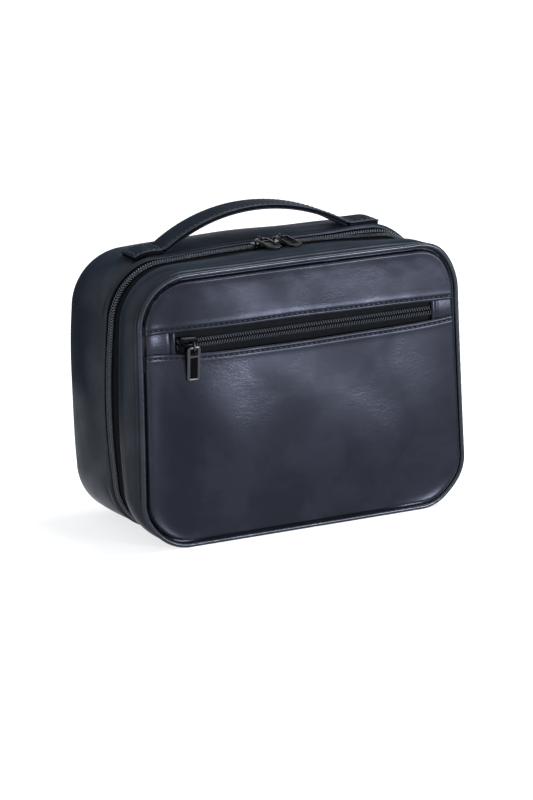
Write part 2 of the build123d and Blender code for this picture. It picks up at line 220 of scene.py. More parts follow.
# Where the handle's ends lift the top, where the top is twisted, and how the corners and edges depart.
ANCHOR_X = 90.0
ANCHOR_SPREAD = (11.0, 15.0)
ANCHOR_LIFT = 1.2
TWIST_X = 78.0
TWIST_SPREAD = 27.0
TWIST_UP = 4.0
TWIST_DOWN = 2.8
CORNER_PUSH = 2.6
RIGHT_SLACK = 1.4
LEFT_SLACK = 0.8
SIDE_REACH = -0.4
TOP_REACH = 0.2
REACH_FADE = 25.0


def along_depth(values, y):
    """The parabola through a size's three values, at the front, at the zip and at the back."""
    return np.polyval(np.polyfit(STATIONS, values, 2), y)


def walk_round(side, upright, corner, gap=0.0):
    """A walk round a rounded rectangle from the middle of its base, anticlockwise seen from the front.

    It gives the place of the corner's centre, from -1 to 1 each way, and the outward angle, with the
    given steps on each side, upright and corner. A gap in the base is a share of its straight length.
    """
    right = [(gap, -1, -90), (1, -1, -90), (1, -1, 0), (1, 1, 0), (1, 1, 90)]
    left = [(-1, 1, 90), (-1, 1, 180), (-1, -1, 180), (-1, -1, 270), (-gap, -1, 270)]
    stops = np.array(right + left, float)
    base = max(2, round(side / 2 * (1 - gap)))
    counts = [base, corner, upright, corner, side, corner, upright, corner, base]
    ends = np.concatenate([[0], np.cumsum(counts)])
    places = np.arange(ends[-1] + (1 if gap else 0))
    core_x, core_z, angle = (np.interp(places, ends, column) for column in stops.T)
    return core_x, core_z, np.radians(angle)


RING = walk_round(56, 40, 18)


def ease(value, start, end):
    """A smooth step from 0 to 1 as the value goes from start to end."""
    share = np.clip((value - start) / (end - start), 0, 1)
    return share * share * (3 - 2 * share)


def bell(value, middle, spread):
    """A rounded bump of height 1: e to the minus square of the distance from the middle over the spread."""
    return np.exp(-(((value - middle) / spread) ** 2))


def top_twist(x, y):
    """How far the top is drawn up behind the zip and pressed down before it, near its right end.

    Behind the zip it eases in over the hem and out again in two steps towards the back. Before the zip it is
    a bell over the depth. Across the bag both are one bell.
    """
    behind = TWIST_UP * ease(y, -18, -6) * (1 - 0.42 * ease(y, -5, 9) - 0.5 * ease(y, 19, 30))
    before = TWIST_DOWN * bell(y, -26, 9)
    return (behind - before) * bell(x, TWIST_X, TWIST_SPREAD)


def corner_push(y, angle):
    """How far the front's upper right corner is stuffed out, and its lower corners are slack.

    Each is a bell over the outward angle in degrees, and all fade with the depth behind the front.
    """
    degrees = (np.degrees(angle) + 90) % 360 - 90
    fuller = CORNER_PUSH * bell(degrees, 56, 27)
    slacker = RIGHT_SLACK * bell(degrees, -45, 25) + LEFT_SLACK * bell(degrees, 225, 25)
    return (fuller - slacker) * (1 - ease(y, -58, -28))


def skin(y, inset, walk=RING, softness=0.0):
    """Points of the bag's outside: a row for each depth and inset, a column for each place of the walk.

    A point is the centre of the nearest corner plus the outward direction times the radius less the
    inset. The top is arched, the sides are bowed and flare towards the base, the ends of the handle lift
    the sheet, and softness adds low waves along the outward direction, in millimetres.
    """
    y, inset = (np.asarray(given, float) for given in (y, inset))
    y, inset = (given.reshape(-1, 1) if given.ndim < 2 else given for given in (y, inset))
    width, low, high, radius = (along_depth(values, y) for values in (WIDTHS, LOWS, HIGHS, RADII))
    arch, bow = along_depth(ARCHES, y), along_depth(BOWS, y)
    core_x, core_z, angle = walk
    inset = inset - corner_push(y, angle)
    out_x = np.cos(angle)
    out_z = np.sin(angle)
    centre_z = (low + high) / 2
    x = core_x * (width / 2 - radius) + out_x * (radius - inset)
    z = centre_z + core_z * ((high - low) / 2 - radius) + out_z * (radius - inset)
    waves = np.sin(x / 23 + z / 31 + y / 40 + 1.3) + 0.6 * np.sin(x / 11 - z / 13 + y / 17 + 0.4)
    waves = softness * waves * (1 - np.clip(-out_z, 0, 1))
    x = x + out_x * waves
    z = z + out_z * waves
    x = x + bow * (1 - core_z**2) * out_x
    z = z + arch * (1 - core_x**2) * np.clip(out_z, 0, 1)
    lift = bell(np.abs(x), ANCHOR_X, ANCHOR_SPREAD[0]) * bell(y, handle_y, ANCHOR_SPREAD[1])
    z = z + (ANCHOR_LIFT * lift + top_twist(x, y)) * np.clip(out_z, 0, 1)
    x = x * (1 - FLARE * (z - centre_z) / (high - low))
    return np.stack([x, y + 0 * x, z], -1)


def arc(centre_y, centre_inset, radius, start, end, steps):
    """Depths and insets along an arc, from 0 degrees at its back through 90 at its outside."""
    turn = np.radians(np.linspace(start, end, steps))
    return np.stack([centre_y + radius * np.cos(turn), centre_inset - radius * np.sin(turn)], -1)


MERGE_DISTANCE = 2e-6


def solid(name, grid, loop_rows=False, loop_columns=False, caps=False, sharp=55):
    """A mesh over one or more grids of points in millimetres.

    Each point is joined to its neighbours by four-sided faces. Rows or columns may close into a loop,
    and caps fill the first and last row. Its map is the length along the grid both ways. Doubled points
    are merged, and if the enclosed volume comes out below zero the faces are turned over.
    """
    grid = np.asarray(grid, float)
    copies = grid.reshape(-1, *grid.shape[-3:])
    count, rows, columns = copies.shape[:3]
    row, column = np.meshgrid(
        np.arange(rows if loop_rows else rows - 1),
        np.arange(columns if loop_columns else columns - 1),
        indexing="ij",
    )
    corner_row = np.stack([row, row + 1, row + 1, row], -1).reshape(-1, 4)
    corner_column = np.stack([column, column, column + 1, column + 1], -1).reshape(-1, 4)
    faces = (corner_row % rows) * columns + corner_column % columns
    shifts = rows * columns * np.arange(count)
    faces = (faces + shifts[:, None, None]).reshape(-1, 4).tolist()
    wrapped = np.concatenate([copies[0], copies[0][:1]])
    wrapped = np.concatenate([wrapped, wrapped[:, :1]], 1)
    down = np.linalg.norm(np.diff(wrapped, axis=0), axis=2)[:, columns // 2]
    across = np.linalg.norm(np.diff(wrapped, axis=1), axis=2)[rows // 3]
    map_down = np.concatenate([[0], np.cumsum(down)])
    map_across = np.concatenate([[0], np.cumsum(across)])
    uv = np.stack([map_across[corner_column], map_down[corner_row]], -1)
    uv = np.tile(uv.reshape(-1, 2), (count, 1))
    if caps:
        ring = np.arange(columns)
        for shift in shifts:
            faces.append((ring[::-1] + shift).tolist())
            faces.append((ring + shift + (rows - 1) * columns).tolist())
        uv = np.concatenate([uv, np.zeros((2 * count * columns, 2))])
    mesh = bpy.data.meshes.new(name)
    mesh.from_pydata((copies.reshape(-1, 3) * MM).tolist(), [], faces)
    mesh.uv_layers.new(name="surface").uv.foreach_set("vector", (uv * MM).ravel())
    work = bmesh.new()
    work.from_mesh(mesh)
    bmesh.ops.remove_doubles(work, verts=work.verts, dist=MERGE_DISTANCE)
    if work.calc_volume(signed=True) < 0:
        bmesh.ops.reverse_faces(work, faces=work.faces)
    work.to_mesh(mesh)
    work.free()
    mesh.shade_smooth()
    mesh.set_sharp_from_angle(angle=math.radians(sharp))
    piece = bpy.data.objects.new(name, mesh)
    scene.collection.objects.link(piece)
    return piece


def hoop(name, grid):
    """A mesh whose rows and columns both close into loops."""
    return solid(name, grid, loop_rows=True, loop_columns=True)


def rod(name, grid, sharp=55):
    """A mesh whose columns close into a loop, with a cap over its first and last row."""
    return solid(name, grid, loop_columns=True, caps=True, sharp=sharp)


def fit(piece, material, body, finish, *nodes):
    """Gives a piece its material, unless it has one, fixes it to its body, and lets it stand for the plain
    solids."""
    if not piece.data.materials:
        piece.data.materials.append(material)
    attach(piece, body)
    if nodes:
        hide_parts(*nodes)


def new_group(name, inputs, outputs):
    """An empty shader node group with named number inputs and outputs, and its two end nodes."""
    group = bpy.data.node_groups.new(name, "ShaderNodeTree")
    for label, value in inputs.items():
        group.interface.new_socket(label, in_out="INPUT", socket_type="NodeSocketFloat").default_value = value
    for label in outputs:
        group.interface.new_socket(label, in_out="OUTPUT", socket_type="NodeSocketFloat")
    return group, group.nodes.new("NodeGroupInput").outputs, group.nodes.new("NodeGroupOutput").inputs


def noise(tree, place, size, detail=2.0, roughness=0.5, distortion=0.0):
    """A cloud pattern whose blotches are about the given size across, in metres or as a socket."""
    inputs = {"Vector": place, "Scale": maths(tree, "DIVIDE", 1.0, size), "Detail": detail}
    inputs.update({"Roughness": roughness, "Distortion": distortion})
    return put(tree, "TexNoise", inputs).outputs["Fac"]


def turned(tree, place, angles, stretch):
    """The place turned by angles in degrees and squeezed by a stretch along each axis."""
    rotation = [math.radians(angle) for angle in angles]
    return put(tree, "Mapping", {"Vector": place, "Rotation": rotation, "Scale": stretch}).outputs[0]


def weighed(tree, *terms):
    """The sum of values, each times its weight."""
    total = 0.0
    for value, weight in terms:
        total = maths(tree, "MULTIPLY_ADD", value, weight, total)
    return total


GRAIN_HEIGHTS = {"pebbles": 0.022, "pores": 0.010, "creases": 0.065, "folds": 0.008, "dents": (1.6, 0.14)}


def make_leather_grain():
    """Pressed grain of a leather-look sheet, as a height in millimetres.

    The height is a weighed sum of small pebbles and pores, of fine slanting creases that come in clusters,
    of thin fold lines, and of the broad dents of a padded sheet. Patch is the pattern of the clusters.
    """
    inputs = {"Pebble": 0.0009, "Creasing": 1.0, "Dents": 1.0}
    group, given, result = new_group("leather_grain", inputs, ("Height", "Patch"))
    place = put(group, "TexCoord").outputs["Object"]
    pebble_scale = maths(group, "DIVIDE", 1.0, given["Pebble"])
    pebbles = put(group, "TexVoronoi", {"Vector": place, "Scale": pebble_scale}, feature="SMOOTH_F1")
    pores = noise(group, place, 0.0005, 2.0)
    patch = noise(group, place, 0.034, 3.0, 0.55, 0.4)
    clusters = put(group, "MapRange", {"Value": patch, "From Min": 0.47, "From Max": 0.62}).outputs[0]
    slanting = noise(group, turned(group, place, (0, 52, 0), (0.45, 0.6, 1.0)), 0.0018, 3.0, 0.6, 0.9)
    centred = maths(group, "SUBTRACT", slanting, 0.5)
    creases = maths(group, "MULTIPLY", centred, maths(group, "ADD", clusters, 0.15))
    folds = noise(group, turned(group, place, (0, 30, 10), (0.25, 0.6, 1.0)), 0.016, 3.0, 0.5, 0.8)
    from_fold = maths(group, "ABSOLUTE", maths(group, "SUBTRACT", folds, 0.5))
    fold_lines = maths(group, "MINIMUM", maths(group, "MULTIPLY", from_fold, 12.0), 1.0)
    broad, small = noise(group, place, 0.060, 1.0), noise(group, place, 0.017, 1.0)
    dented = weighed(group, (broad, GRAIN_HEIGHTS["dents"][0]), (small, GRAIN_HEIGHTS["dents"][1]))
    creased = weighed(group, (creases, GRAIN_HEIGHTS["creases"]), (fold_lines, GRAIN_HEIGHTS["folds"]))
    pebbled = (pebbles.outputs["Distance"], GRAIN_HEIGHTS["pebbles"])
    fine = weighed(group, pebbled, (pores, GRAIN_HEIGHTS["pores"]))
    height = weighed(group, (fine, 1.0), (dented, given["Dents"]), (creased, given["Creasing"]))
    group.links.new(height, result["Height"])
    group.links.new(patch, result["Patch"])
    return group


LEATHER_GRAIN = make_leather_grain()


def use_group(tree, group, **values):
    """Places a node group in a material with its own values."""
    made = tree.nodes.new("ShaderNodeGroup")
    made.node_tree = group
    for name, value in values.items():
        made.inputs[name].default_value = value
    return made.outputs


def new_material(name):
    """An empty material and its node tree."""
    material = bpy.data.materials.new(name)
    material.use_nodes = True
    material.node_tree.nodes.clear()
    return material, material.node_tree


def relief(tree, height, strength, distance):
    """The surface's direction after a bump of the given height, strength and distance in metres."""
    return put(tree, "Bump", {"Height": height, "Strength": strength, "Distance": distance}).outputs[0]


def surfaced(tree, inputs):
    """The material's shader, with its values and links, as the surface of its piece."""
    shader = put(tree, "BsdfPrincipled", inputs)
    put(tree, "OutputMaterial", {"Surface": shader.outputs[0]})


def blend_values(tree, share, low, high):
    """A number that goes from low to high as the share goes from 0 to 1."""
    return put(tree, "MapRange", {"Value": share, "To Min": low, "To Max": high}).outputs[0]


def blend_colours(tree, share, first, second):
    """A colour that goes from the first to the second as the share goes from 0 to 1."""
    mix = put(tree, "Mix", {0: share, 6: (*first, 1), 7: (*second, 1)}, data_type="RGBA")
    return mix.outputs[2]


def edge_faded(tree, level):
    """A gloss level that fades as the surface turns edge on, from the full level to almost none, which is
    painted shade. Near the base a little more of it is left, a painted sheen that brightens the lower sides."""
    facing = put(tree, "LayerWeight", {"Blend": 0.5}).outputs["Facing"]
    height = put(tree, "SeparateXYZ", {0: put(tree, "TexCoord").outputs["Object"]}).outputs[2]
    # painted sheen: near the base a little more gloss is kept, so the lower sides look brighter
    base_sheen_span = {"Value": height, "From Min": 0.01, "From Max": 0.10, "To Min": 0.04, "To Max": 0.001}
    least = put(tree, "MapRange", base_sheen_span).outputs[0]
    # painted shade: the gloss fades away on faces seen edge on
    span = {"Value": facing, "From Min": 0.1, "From Max": 0.64, "To Min": level, "To Max": least}
    return put(tree, "MapRange", span, interpolation_type="SMOOTHSTEP").outputs[0]


def leather(name, tones, roughness, specular, shine=(1.0, 1.0, 1.0), haze=0.0, **grain_values):
    """Black leather-look sheet.

    A dark and a light tone lie in broad patches, the light one smoother. It has grain, a gloss that varies
    with the patches, fades where the sheet is seen edge on as painted shade and is kept a little near the base
    as a painted sheen, and a faint bluish haze there.
    """
    material, tree = new_material(name)
    grain = use_group(tree, LEATHER_GRAIN, **grain_values)
    spread = put(tree, "MapRange", {"Value": grain["Patch"], "From Min": 0.40, "From Max": 0.62}).outputs[0]
    gloss = maths(tree, "MULTIPLY", edge_faded(tree, specular), blend_values(tree, spread, 0.85, 1.15))
    inputs = {
        "Base Color": blend_colours(tree, spread, *tones),
        "Roughness": blend_values(tree, spread, roughness[1], roughness[0]),
        "Specular IOR Level": gloss,
        "Specular Tint": (*shine, 1),
        "Sheen Weight": haze,
        "Sheen Roughness": 0.45,
        "Sheen Tint": (0.55, 0.74, 1.0, 1),
        "Normal": relief(tree, grain["Height"], 1.0, MM),
    }
    surfaced(tree, inputs)
    return material


gusset_leather = leather(
    "gusset_leather",
    tones=((0.006, 0.0072, 0.011), (0.009, 0.011, 0.016)),
    roughness=(0.29, 0.37),
    specular=0.28,
    shine=(0.70, 0.80, 1.0),
    haze=0.12,
)


def past_edge(distance, width=1.5):
    """0 on a rolled edge, and 1 from a width past it."""
    return np.clip((distance - edge_roll) / width, 0, 1)


def puffed(distance, length):
    """The inset of a padded band's swollen middle, by distance from its turned edge: a flattened half wave
    over its length."""
    return -shell_puff * np.sin(np.pi * np.clip(distance / length, 0, 1)) ** 0.8 * past_edge(distance)


def edge_bead(distance):
    """The inset of the narrow ridge beside a turned edge and of the shallow dip behind it: two bells."""
    return (0.45 * bell(distance, 6.2, 1.8) - bell(distance, 2.0, 1.0)) * past_edge(distance)


shell_run = back_y - back_radius - shell_edge
shell_rows = shell_edge + edge_roll + (shell_run - edge_roll) * np.linspace(0, 1, 34) ** 1.4
shell_profile = np.concatenate(
    [
        arc(shell_edge + edge_roll, edge_roll, edge_roll, 270, 100, 8),
        np.stack([shell_rows, puffed(shell_rows - shell_edge, shell_run)], -1),
        arc(back_y - back_radius, back_radius, back_radius, 84, 0, 12),
        [(back_y - 0.1, back_seam - 0.9), (back_y - 0.9, back_seam), (back_y - 2.2, back_seam + 0.4)],
        arc(back_y - back_radius, back_radius, back_radius - leather_thickness, 0, 90, 8),
        [(shell_edge + hem_width, leather_thickness), (shell_edge + hem_width - 0.6, 2 * edge_roll)],
    ]
)
beside_coil = np.abs(np.cos(RING[2])) ** 3
shell_y, shell_inset = (column[:, None] for column in shell_profile.T)
from_zip = shell_y - shell_edge
ridge_height = 0.5 * (1 - beside_coil) + 0.8 * np.abs(np.sin(2 * RING[2]))
shell_inset = shell_inset + edge_bead(from_zip) * (shell_inset < 0.5) * ridge_height
edge_reach = SIDE_REACH * beside_coil + TOP_REACH * (1 - beside_coil)
shell_y = shell_y + edge_reach * (1 - np.clip(from_zip / REACH_FADE, 0, 1))
shell_gusset = hoop("shell_gusset_leather", skin(shell_y, shell_inset, softness=0.35))
fit(shell_gusset, gusset_leather, "shell", "black_leather", "shell_gusset")


# Back panel. A flat rounded piece of the same sheet, sewn into the back with its seam sunk all round.
# A stiff board behind it keeps the bag's back flat, so that the bag can be laid on it and opened.


def towards_centre(ring, steps, puff):
    """Rows that shrink a ring of points to its middle, with a puff along Y that grows from its edge."""
    share = np.linspace(1, 0, steps)[:, None, None]
    centre = np.array([0, ring[0, 1], (ring[:, 2].max() + ring[:, 2].min()) / 2])
    rows = centre + (ring - centre) * share
    rows[:, :, 1] += puff * (1 - share[:, :, 0] ** 6)
    return rows


def slab(y, inset, puff, thickness, steps=9):
    """A closed sheet that fills the bag's outline at a depth and inset: its outer face, then its inner face
    a thickness further in."""
    ring = skin([y], [inset])[0]
    outer = towards_centre(ring, steps, puff)
    inner = towards_centre(ring - [0, thickness, 0], steps, puff)
    return np.concatenate([outer, inner[::-1]])


back_panel = hoop("back_panel_leather", slab(back_y - 1.6, back_seam - 0.2, puff=1.5, thickness=1.2, steps=12))
fit(back_panel, gusset_leather, "shell", "black_leather", "back_panel")

board_grey = leather(
    "stiff_board", tones=((0.09,) * 3, (0.12,) * 3), roughness=(0.6, 0.7), specular=0.3, Creasing=0.0, Dents=0.0
)
back_board = hoop("back_board_sheet", slab(back_y - 2.8, back_seam + 1.5, puff=0.0, thickness=0.5))
fit(back_board, board_grey, "shell", "stiff_board", "back_board")

foam_grey = leather(
    "foam",
    tones=((0.16, 0.16, 0.17), (0.22, 0.22, 0.23)),
    roughness=(0.8, 0.9),
    specular=0.1,
    Pebble=0.002,
    Creasing=0.0,
)
foam_gap = 0.5
foam_thickness = 0.7
foam_across = np.linspace(shell_edge + hem_width + 1, back_y - back_radius, 3)
foam_y = np.concatenate([foam_across, foam_across[::-1]])
foam_inset = leather_thickness + foam_gap + foam_thickness * np.repeat([0, 1], 3)
shell_foam = hoop("shell_foam_sheet", skin(foam_y, foam_inset))
fit(shell_foam, foam_grey, "shell", "padding", "shell_foam", "handle_backing_left", "handle_backing_right")


# Lid gusset. The shallow half's band, with its own turned edge at the zip and a folded edge at the front,
# where a seam holds it to the piping and the front panels.

front_fold = front_y + 5.4
lid_puff = 1.5
lid_run = lid_edge - front_fold
lid_rows = lid_edge - edge_roll - (lid_run - edge_roll - 1) * np.linspace(0, 1, 26) ** 1.2
lid_distance = lid_edge - lid_rows
fold_distance = lid_rows - front_fold
zip_bead = 0.06 * bell(lid_distance, 5.6, 1.4) - 0.16 * bell(lid_distance, 2.3, 1.3)
front_bead = 0.55 * bell(fold_distance, 4.4, 1.0) - 0.95 * bell(fold_distance, 1.7, 1.15)
lid_swell = lid_puff * np.sin(np.pi * np.clip(lid_distance / lid_run, 0, 1))
lid_inset = (zip_bead + front_bead - lid_swell) * past_edge(lid_distance, 2)
lid_profile = np.concatenate(
    [
        arc(lid_edge - edge_roll, edge_roll, edge_roll, -90, 80, 8),
        np.stack([lid_rows, lid_inset], -1),
        [(front_fold + 0.35, 0.1), (front_fold, 1.0), (front_fold - 0.2, 2.4)],
        [(front_fold - 0.2, 8.0), (front_fold + 0.8, 8.0)],
        [(front_fold + 1.4, leather_thickness), (lid_edge - hem_width, leather_thickness)],
        [(lid_edge - hem_width + 0.6, 2 * edge_roll)],
    ]
)
# The lid's band has a lighter copy of the gusset's leather, painted light that makes its side show brighter
# than the shell's.
lid_lit_leather = leather(
    "lid_lit_leather",
    tones=((0.008, 0.0093, 0.0125), (0.012, 0.0138, 0.018)),
    roughness=(0.30, 0.38),
    specular=0.28,
    shine=(0.72, 0.81, 1.0),
    haze=0.13,
)
lid_gusset = hoop("lid_gusset_leather", skin(*lid_profile.T, softness=0.25))
fit(lid_gusset, lid_lit_leather, "lid", "black_leather", "lid_gusset")


# Piping. A cord in a folded strip of smooth leather-look sheet that runs all round the front edge.
# Its two ends meet in a small joint under the bag, and its flange is sewn into the front seam.

piping_radius = 1.7
piping_y = front_y + piping_radius
piping_inset = 0.4
piping_joint_x = 6.0
piping_joint_pinch = 0.16
piping_strain = 0.035
PIPING_RING = walk_round(120, 90, 30)


def unit(vectors):
    """Vectors of length one."""
    return vectors / np.linalg.norm(vectors, axis=-1, keepdims=True)


piping_line = skin([piping_y], [piping_inset], PIPING_RING)[0]
line_x, line_z = piping_line[:, 0], piping_line[:, 2]
under_bag = np.clip(1 - (line_z - line_z.min()) / 10, 0, 1)
pinch = piping_joint_pinch * bell(line_x, piping_joint_x, 0.9) * under_bag
strain = piping_strain * np.sin(line_x * 0.9 + line_z * 1.1) * np.sin(line_z * 0.23 + line_x * 0.17)
cord_radius = piping_radius * (1 + strain - pinch)
turns = np.radians(np.arange(0, 360, 22.5))[:, None]
outwards = unit(piping_line - skin([piping_y], [piping_inset + 1], PIPING_RING)[0])
cord = piping_line + outwards * (np.cos(turns) * cord_radius)[..., None]
cord[..., 1] += np.sin(turns) * cord_radius
piping_leather = leather(
    "piping_leather",
    tones=((0.006, 0.0072, 0.011), (0.009, 0.011, 0.015)),
    roughness=(0.20, 0.26),
    specular=0.46,
    shine=(0.74, 0.82, 1.0),
    haze=0.08,
    Creasing=0.3,
    Dents=0.3,
)
front_piping = hoop("front_piping_cord", cord)
fit(front_piping, piping_leather, "lid", "piping_leather", "front_piping")


# Front panels. An upper and a lower piece of padded leather-look sheet, crowned away from the seam beside
# the piping. The edges that face the pocket's window are folded under and sewn down.

left_end_low, left_end_high = edges_of("pocket_tab_left")
window_left = left_end_high[0]
window_right = edges_of("pocket_tab_right")[0][0]
window_low = left_end_low[2]
window_high = left_end_high[2]
window_middle = (window_low + window_high) / 2
seam_inset = piping_inset + piping_radius + 0.1
seam_y = front_y + 4.2
seam_width = along_depth(WIDTHS, piping_y) - 2 * seam_inset
seam_low = along_depth(LOWS, piping_y) + seam_inset
seam_high = along_depth(HIGHS, piping_y) - seam_inset
seam_radius = along_depth(RADII, piping_y) - seam_inset
seam_middle = (seam_low + seam_high) / 2
seam_gap = 1.7
edge_wall = 3.4
edge_radius = 1.5
wide_crown = 3.4
wide_reach = 42.0
valley_depth = 1.1
lean_back = 0.035
fold_radius = 0.95
fold_reach = 7.0
stitch_line = 2.8
ANYWHERE = math.inf

# How far the sheet swells out, or hangs slack if below zero, then the middle and the spread of that place
# across and up: the left end, the lower right corner, the bulge beside the pocket's slider, the belly.
SWELLS = (
    (-4.0, -113, 28, window_middle, ANYWHERE),
    (-2.8, 96, 34, 10, 26),
    (1.8, -64, 31, 80, 33),
    (2.0, 12, 95, 56, 40),
)


def seam_half_width(z):
    """Half the front seam's width at a height: straight, then drawn in along the corner's arc."""
    up = np.abs(z - seam_middle) - ((seam_high - seam_low) / 2 - seam_radius)
    drawn_in = seam_radius - np.sqrt(np.clip(seam_radius**2 - np.clip(up, 0, seam_radius) ** 2, 0, None))
    return seam_width / 2 - drawn_in


def seam_flare(z):
    """How much wider the front is at a height than in its middle."""
    return 1 - FLARE * (z - seam_middle) / (seam_high - seam_low)


def seam_distance(x, z):
    """How far a point of the front lies inside the rounded outline of the seam."""
    over_x = np.abs(x / seam_flare(z)) - (seam_width / 2 - seam_radius)
    over_z = np.abs(z - seam_middle) - ((seam_high - seam_low) / 2 - seam_radius)
    outside = np.hypot(np.clip(over_x, 0, None), np.clip(over_z, 0, None))
    return np.clip(seam_radius - outside - np.minimum(np.maximum(over_x, over_z), 0), 0, None)


def away(distance, length):
    """Grows from 0 at the seam towards 1: one less e to the minus distance over a length."""
    return 1 - np.exp(-distance / length)


def front_surface(x, z):
    """Depth of the padded front.

    It rises from a deep seam over a rounded shoulder, dips a little behind it, and then rises slowly to the
    middle. The swells and slack places, soft waves, faint gathers along the top, the valley in which the
    window lies and the backward lean above it are added, and all fade towards the seam.
    """
    distance = seam_distance(x, z)
    over = 1 - np.clip((distance - seam_gap) / edge_radius, 0, 1)
    wall = edge_wall * ease(distance, seam_gap - 0.5, seam_gap + 0.3)
    shoulder = wall + edge_radius * np.sqrt(1 - over**2) - 0.03 * bell(distance, 6.5, 2.2)
    swell = sum(out * bell(x, at_x, wide) * bell(z, at_z, tall) for out, at_x, wide, at_z, tall in SWELLS)
    rise = shoulder + wide_crown * away(distance, wide_reach) + swell * away(distance, 6)
    waves = 0.25 * np.sin(x / 21 - z / 27 + 0.7) + 0.16 * np.sin(x / 12.5 + z / 16 + 2.1)
    gathers = np.sin(x / 4.6 + z / 7 + 1.5 * np.sin(x / 11)) + 0.8 * np.sin(x / 8.1 - z / 12)
    gathers = 0.06 * gathers * bell(distance, 9, 6) * ease(z, 60, 150)
    valley = valley_depth * bell(z, window_middle, 30) * away(distance, 12)
    leaning = lean_back * np.clip(z - window_middle, 0, None) * away(distance, 9)
    return seam_y - rise - waves * away(distance, 9) - gathers + valley + leaning


def filled_out(x, z):
    """How far the panel's edge follows the fuller and slacker corners and the arch of the top, each way.

    The push is the skin's, along the outward angle of the nearest corner, and fades with the distance
    from the seam.
    """
    core_x = seam_width / 2 - seam_radius
    core_z = (seam_high - seam_low) / 2 - seam_radius
    beyond_x = np.clip(np.abs(x / seam_flare(z)) - core_x, 0, None)
    beyond_z = np.clip(np.abs(z - seam_middle) - core_z, 0, None)
    quarter = np.arctan2(beyond_z, beyond_x + 1e-6)
    angle = np.where(x > 0, quarter, np.pi - quarter) * np.where(z > seam_middle, 1, -1)
    push = corner_push(piping_y, angle) * np.exp(-seam_distance(x, z) / 10)
    arched = along_depth(ARCHES, piping_y) * (1 - np.clip(x / core_x, -1, 1) ** 2)
    return push * np.cos(angle), push * np.sin(angle) + arched * ease(z, seam_middle, seam_high)


def window_edge(x, side):
    """Height of a folded window edge, upper (side 1) or lower (side -1), with the waver of sewn sheet.

    Both edges have two small waves and droop as parabolas. The upper one slopes, and the lower one turns up
    at its ends.
    """
    waver = 0.22 * np.sin(x / 31 + side) + 0.12 * np.sin(x / 13 + 2 * side) - 0.5 * (x / 118) ** 2
    if side > 0:
        return window_high + waver - 0.3 - 0.0105 * x
    return window_low + waver + 0.4 + 1.2 * (x / 92) ** 4 + 0.7 * bell(x, -98, 25)


def folded(face, pinned, radius, axis, side, steps):
    """A sheet folded back over its last row.

    Its rows are the face, a half circle round the fold, which bulges against the side along the axis, and
    the face again behind. The sheet thins to nothing where it is pinned in the seam.
    """
    turn = np.radians(np.linspace(0, 180, steps)[1:-1])[:, None]
    fold = np.repeat(face[-1:], len(turn), 0)
    fold[..., 1] += radius * (1 - np.cos(turn))
    fold[..., axis] -= side * radius * np.sin(turn)
    behind = face.copy()
    behind[..., 1] += 2 * fold_radius * pinned
    return np.concatenate([face, fold, behind[::-1]])


def front_panel(name, side):
    """A panel above (side 1) or below (side -1) the window.

    Rows run from the far seam to the folded edge, round the fold and back behind. Columns run across between
    the seams. A groove lies under the stitches, with a low ridge on each side of it.
    """
    corner = np.radians(np.linspace(0, 90, 44))
    corner_z = (seam_high if side > 0 else seam_low) - side * seam_radius * (1 - np.cos(corner))
    near_z = (window_high if side > 0 else window_low) + side * fold_reach
    if side > 0 and corner_z[-1] < near_z:
        rows_z = corner_z[corner_z > near_z + 0.5]
    else:
        share = np.linspace(0, 1, 60)[1:-1]
        rows_z = np.concatenate([corner_z, corner_z[-1] + (near_z - corner_z[-1]) * share])
    across = np.linspace(-1, 1, 121)
    across = np.sign(across) * (1 - (1 - np.abs(across)) ** 1.5)
    edge_x = across * seam_half_width(near_z) * seam_flare(near_z)
    edge_steps = np.array([fold_reach, 5.6, 4.6, 3.9, 3.4, 3.1, stitch_line, 2.5, 2.1, 1.5, fold_radius])
    far_x = across * (seam_half_width(rows_z) * seam_flare(rows_z))[:, None]
    x = np.concatenate([far_x, np.tile(edge_x, (len(edge_steps), 1))])
    z = np.concatenate([rows_z[:, None] + 0 * far_x, window_edge(edge_x, side) + side * edge_steps[:, None]])
    from_edge = side * (z - window_edge(x, side))
    groove = 0.22 * bell(from_edge, stitch_line, 0.55)
    ridges = 0.28 * bell(from_edge, 1.5, 0.8) + 0.15 * bell(from_edge, 4.4, 1.3)
    pinned = np.clip(seam_distance(x, z) / 4, 0, 1)
    out_x, out_z = filled_out(x, z)
    out_z = out_z * np.clip((from_edge - 4) / 20, 0, 1)
    face = np.stack([x + out_x, front_surface(x, z) + groove - ridges, z + out_z], -1)
    return solid(name, folded(face, pinned, fold_radius * pinned[-1], 2, side, 9), loop_rows=True)


panel_leather = leather(
    "panel_leather",
    tones=((0.005, 0.006, 0.009), (0.008, 0.0095, 0.014)),
    roughness=(0.25, 0.31),
    specular=0.23,
    shine=(0.71, 0.75, 1.0),
    Dents=0.75,
)
for panel_name, panel_side in (("front_panel_upper", 1), ("front_panel_lower", -1)):
    panel = front_panel(panel_name + "_leather", panel_side)
    fit(panel, panel_leather, "lid", "black_leather", panel_name)


# Pocket end pieces. Two small pieces of the same sheet close the ends of the window, behind the folded edges.
# Each has one edge folded back beside the zip, which shows as a narrow bright rim.

end_margin = 2.5


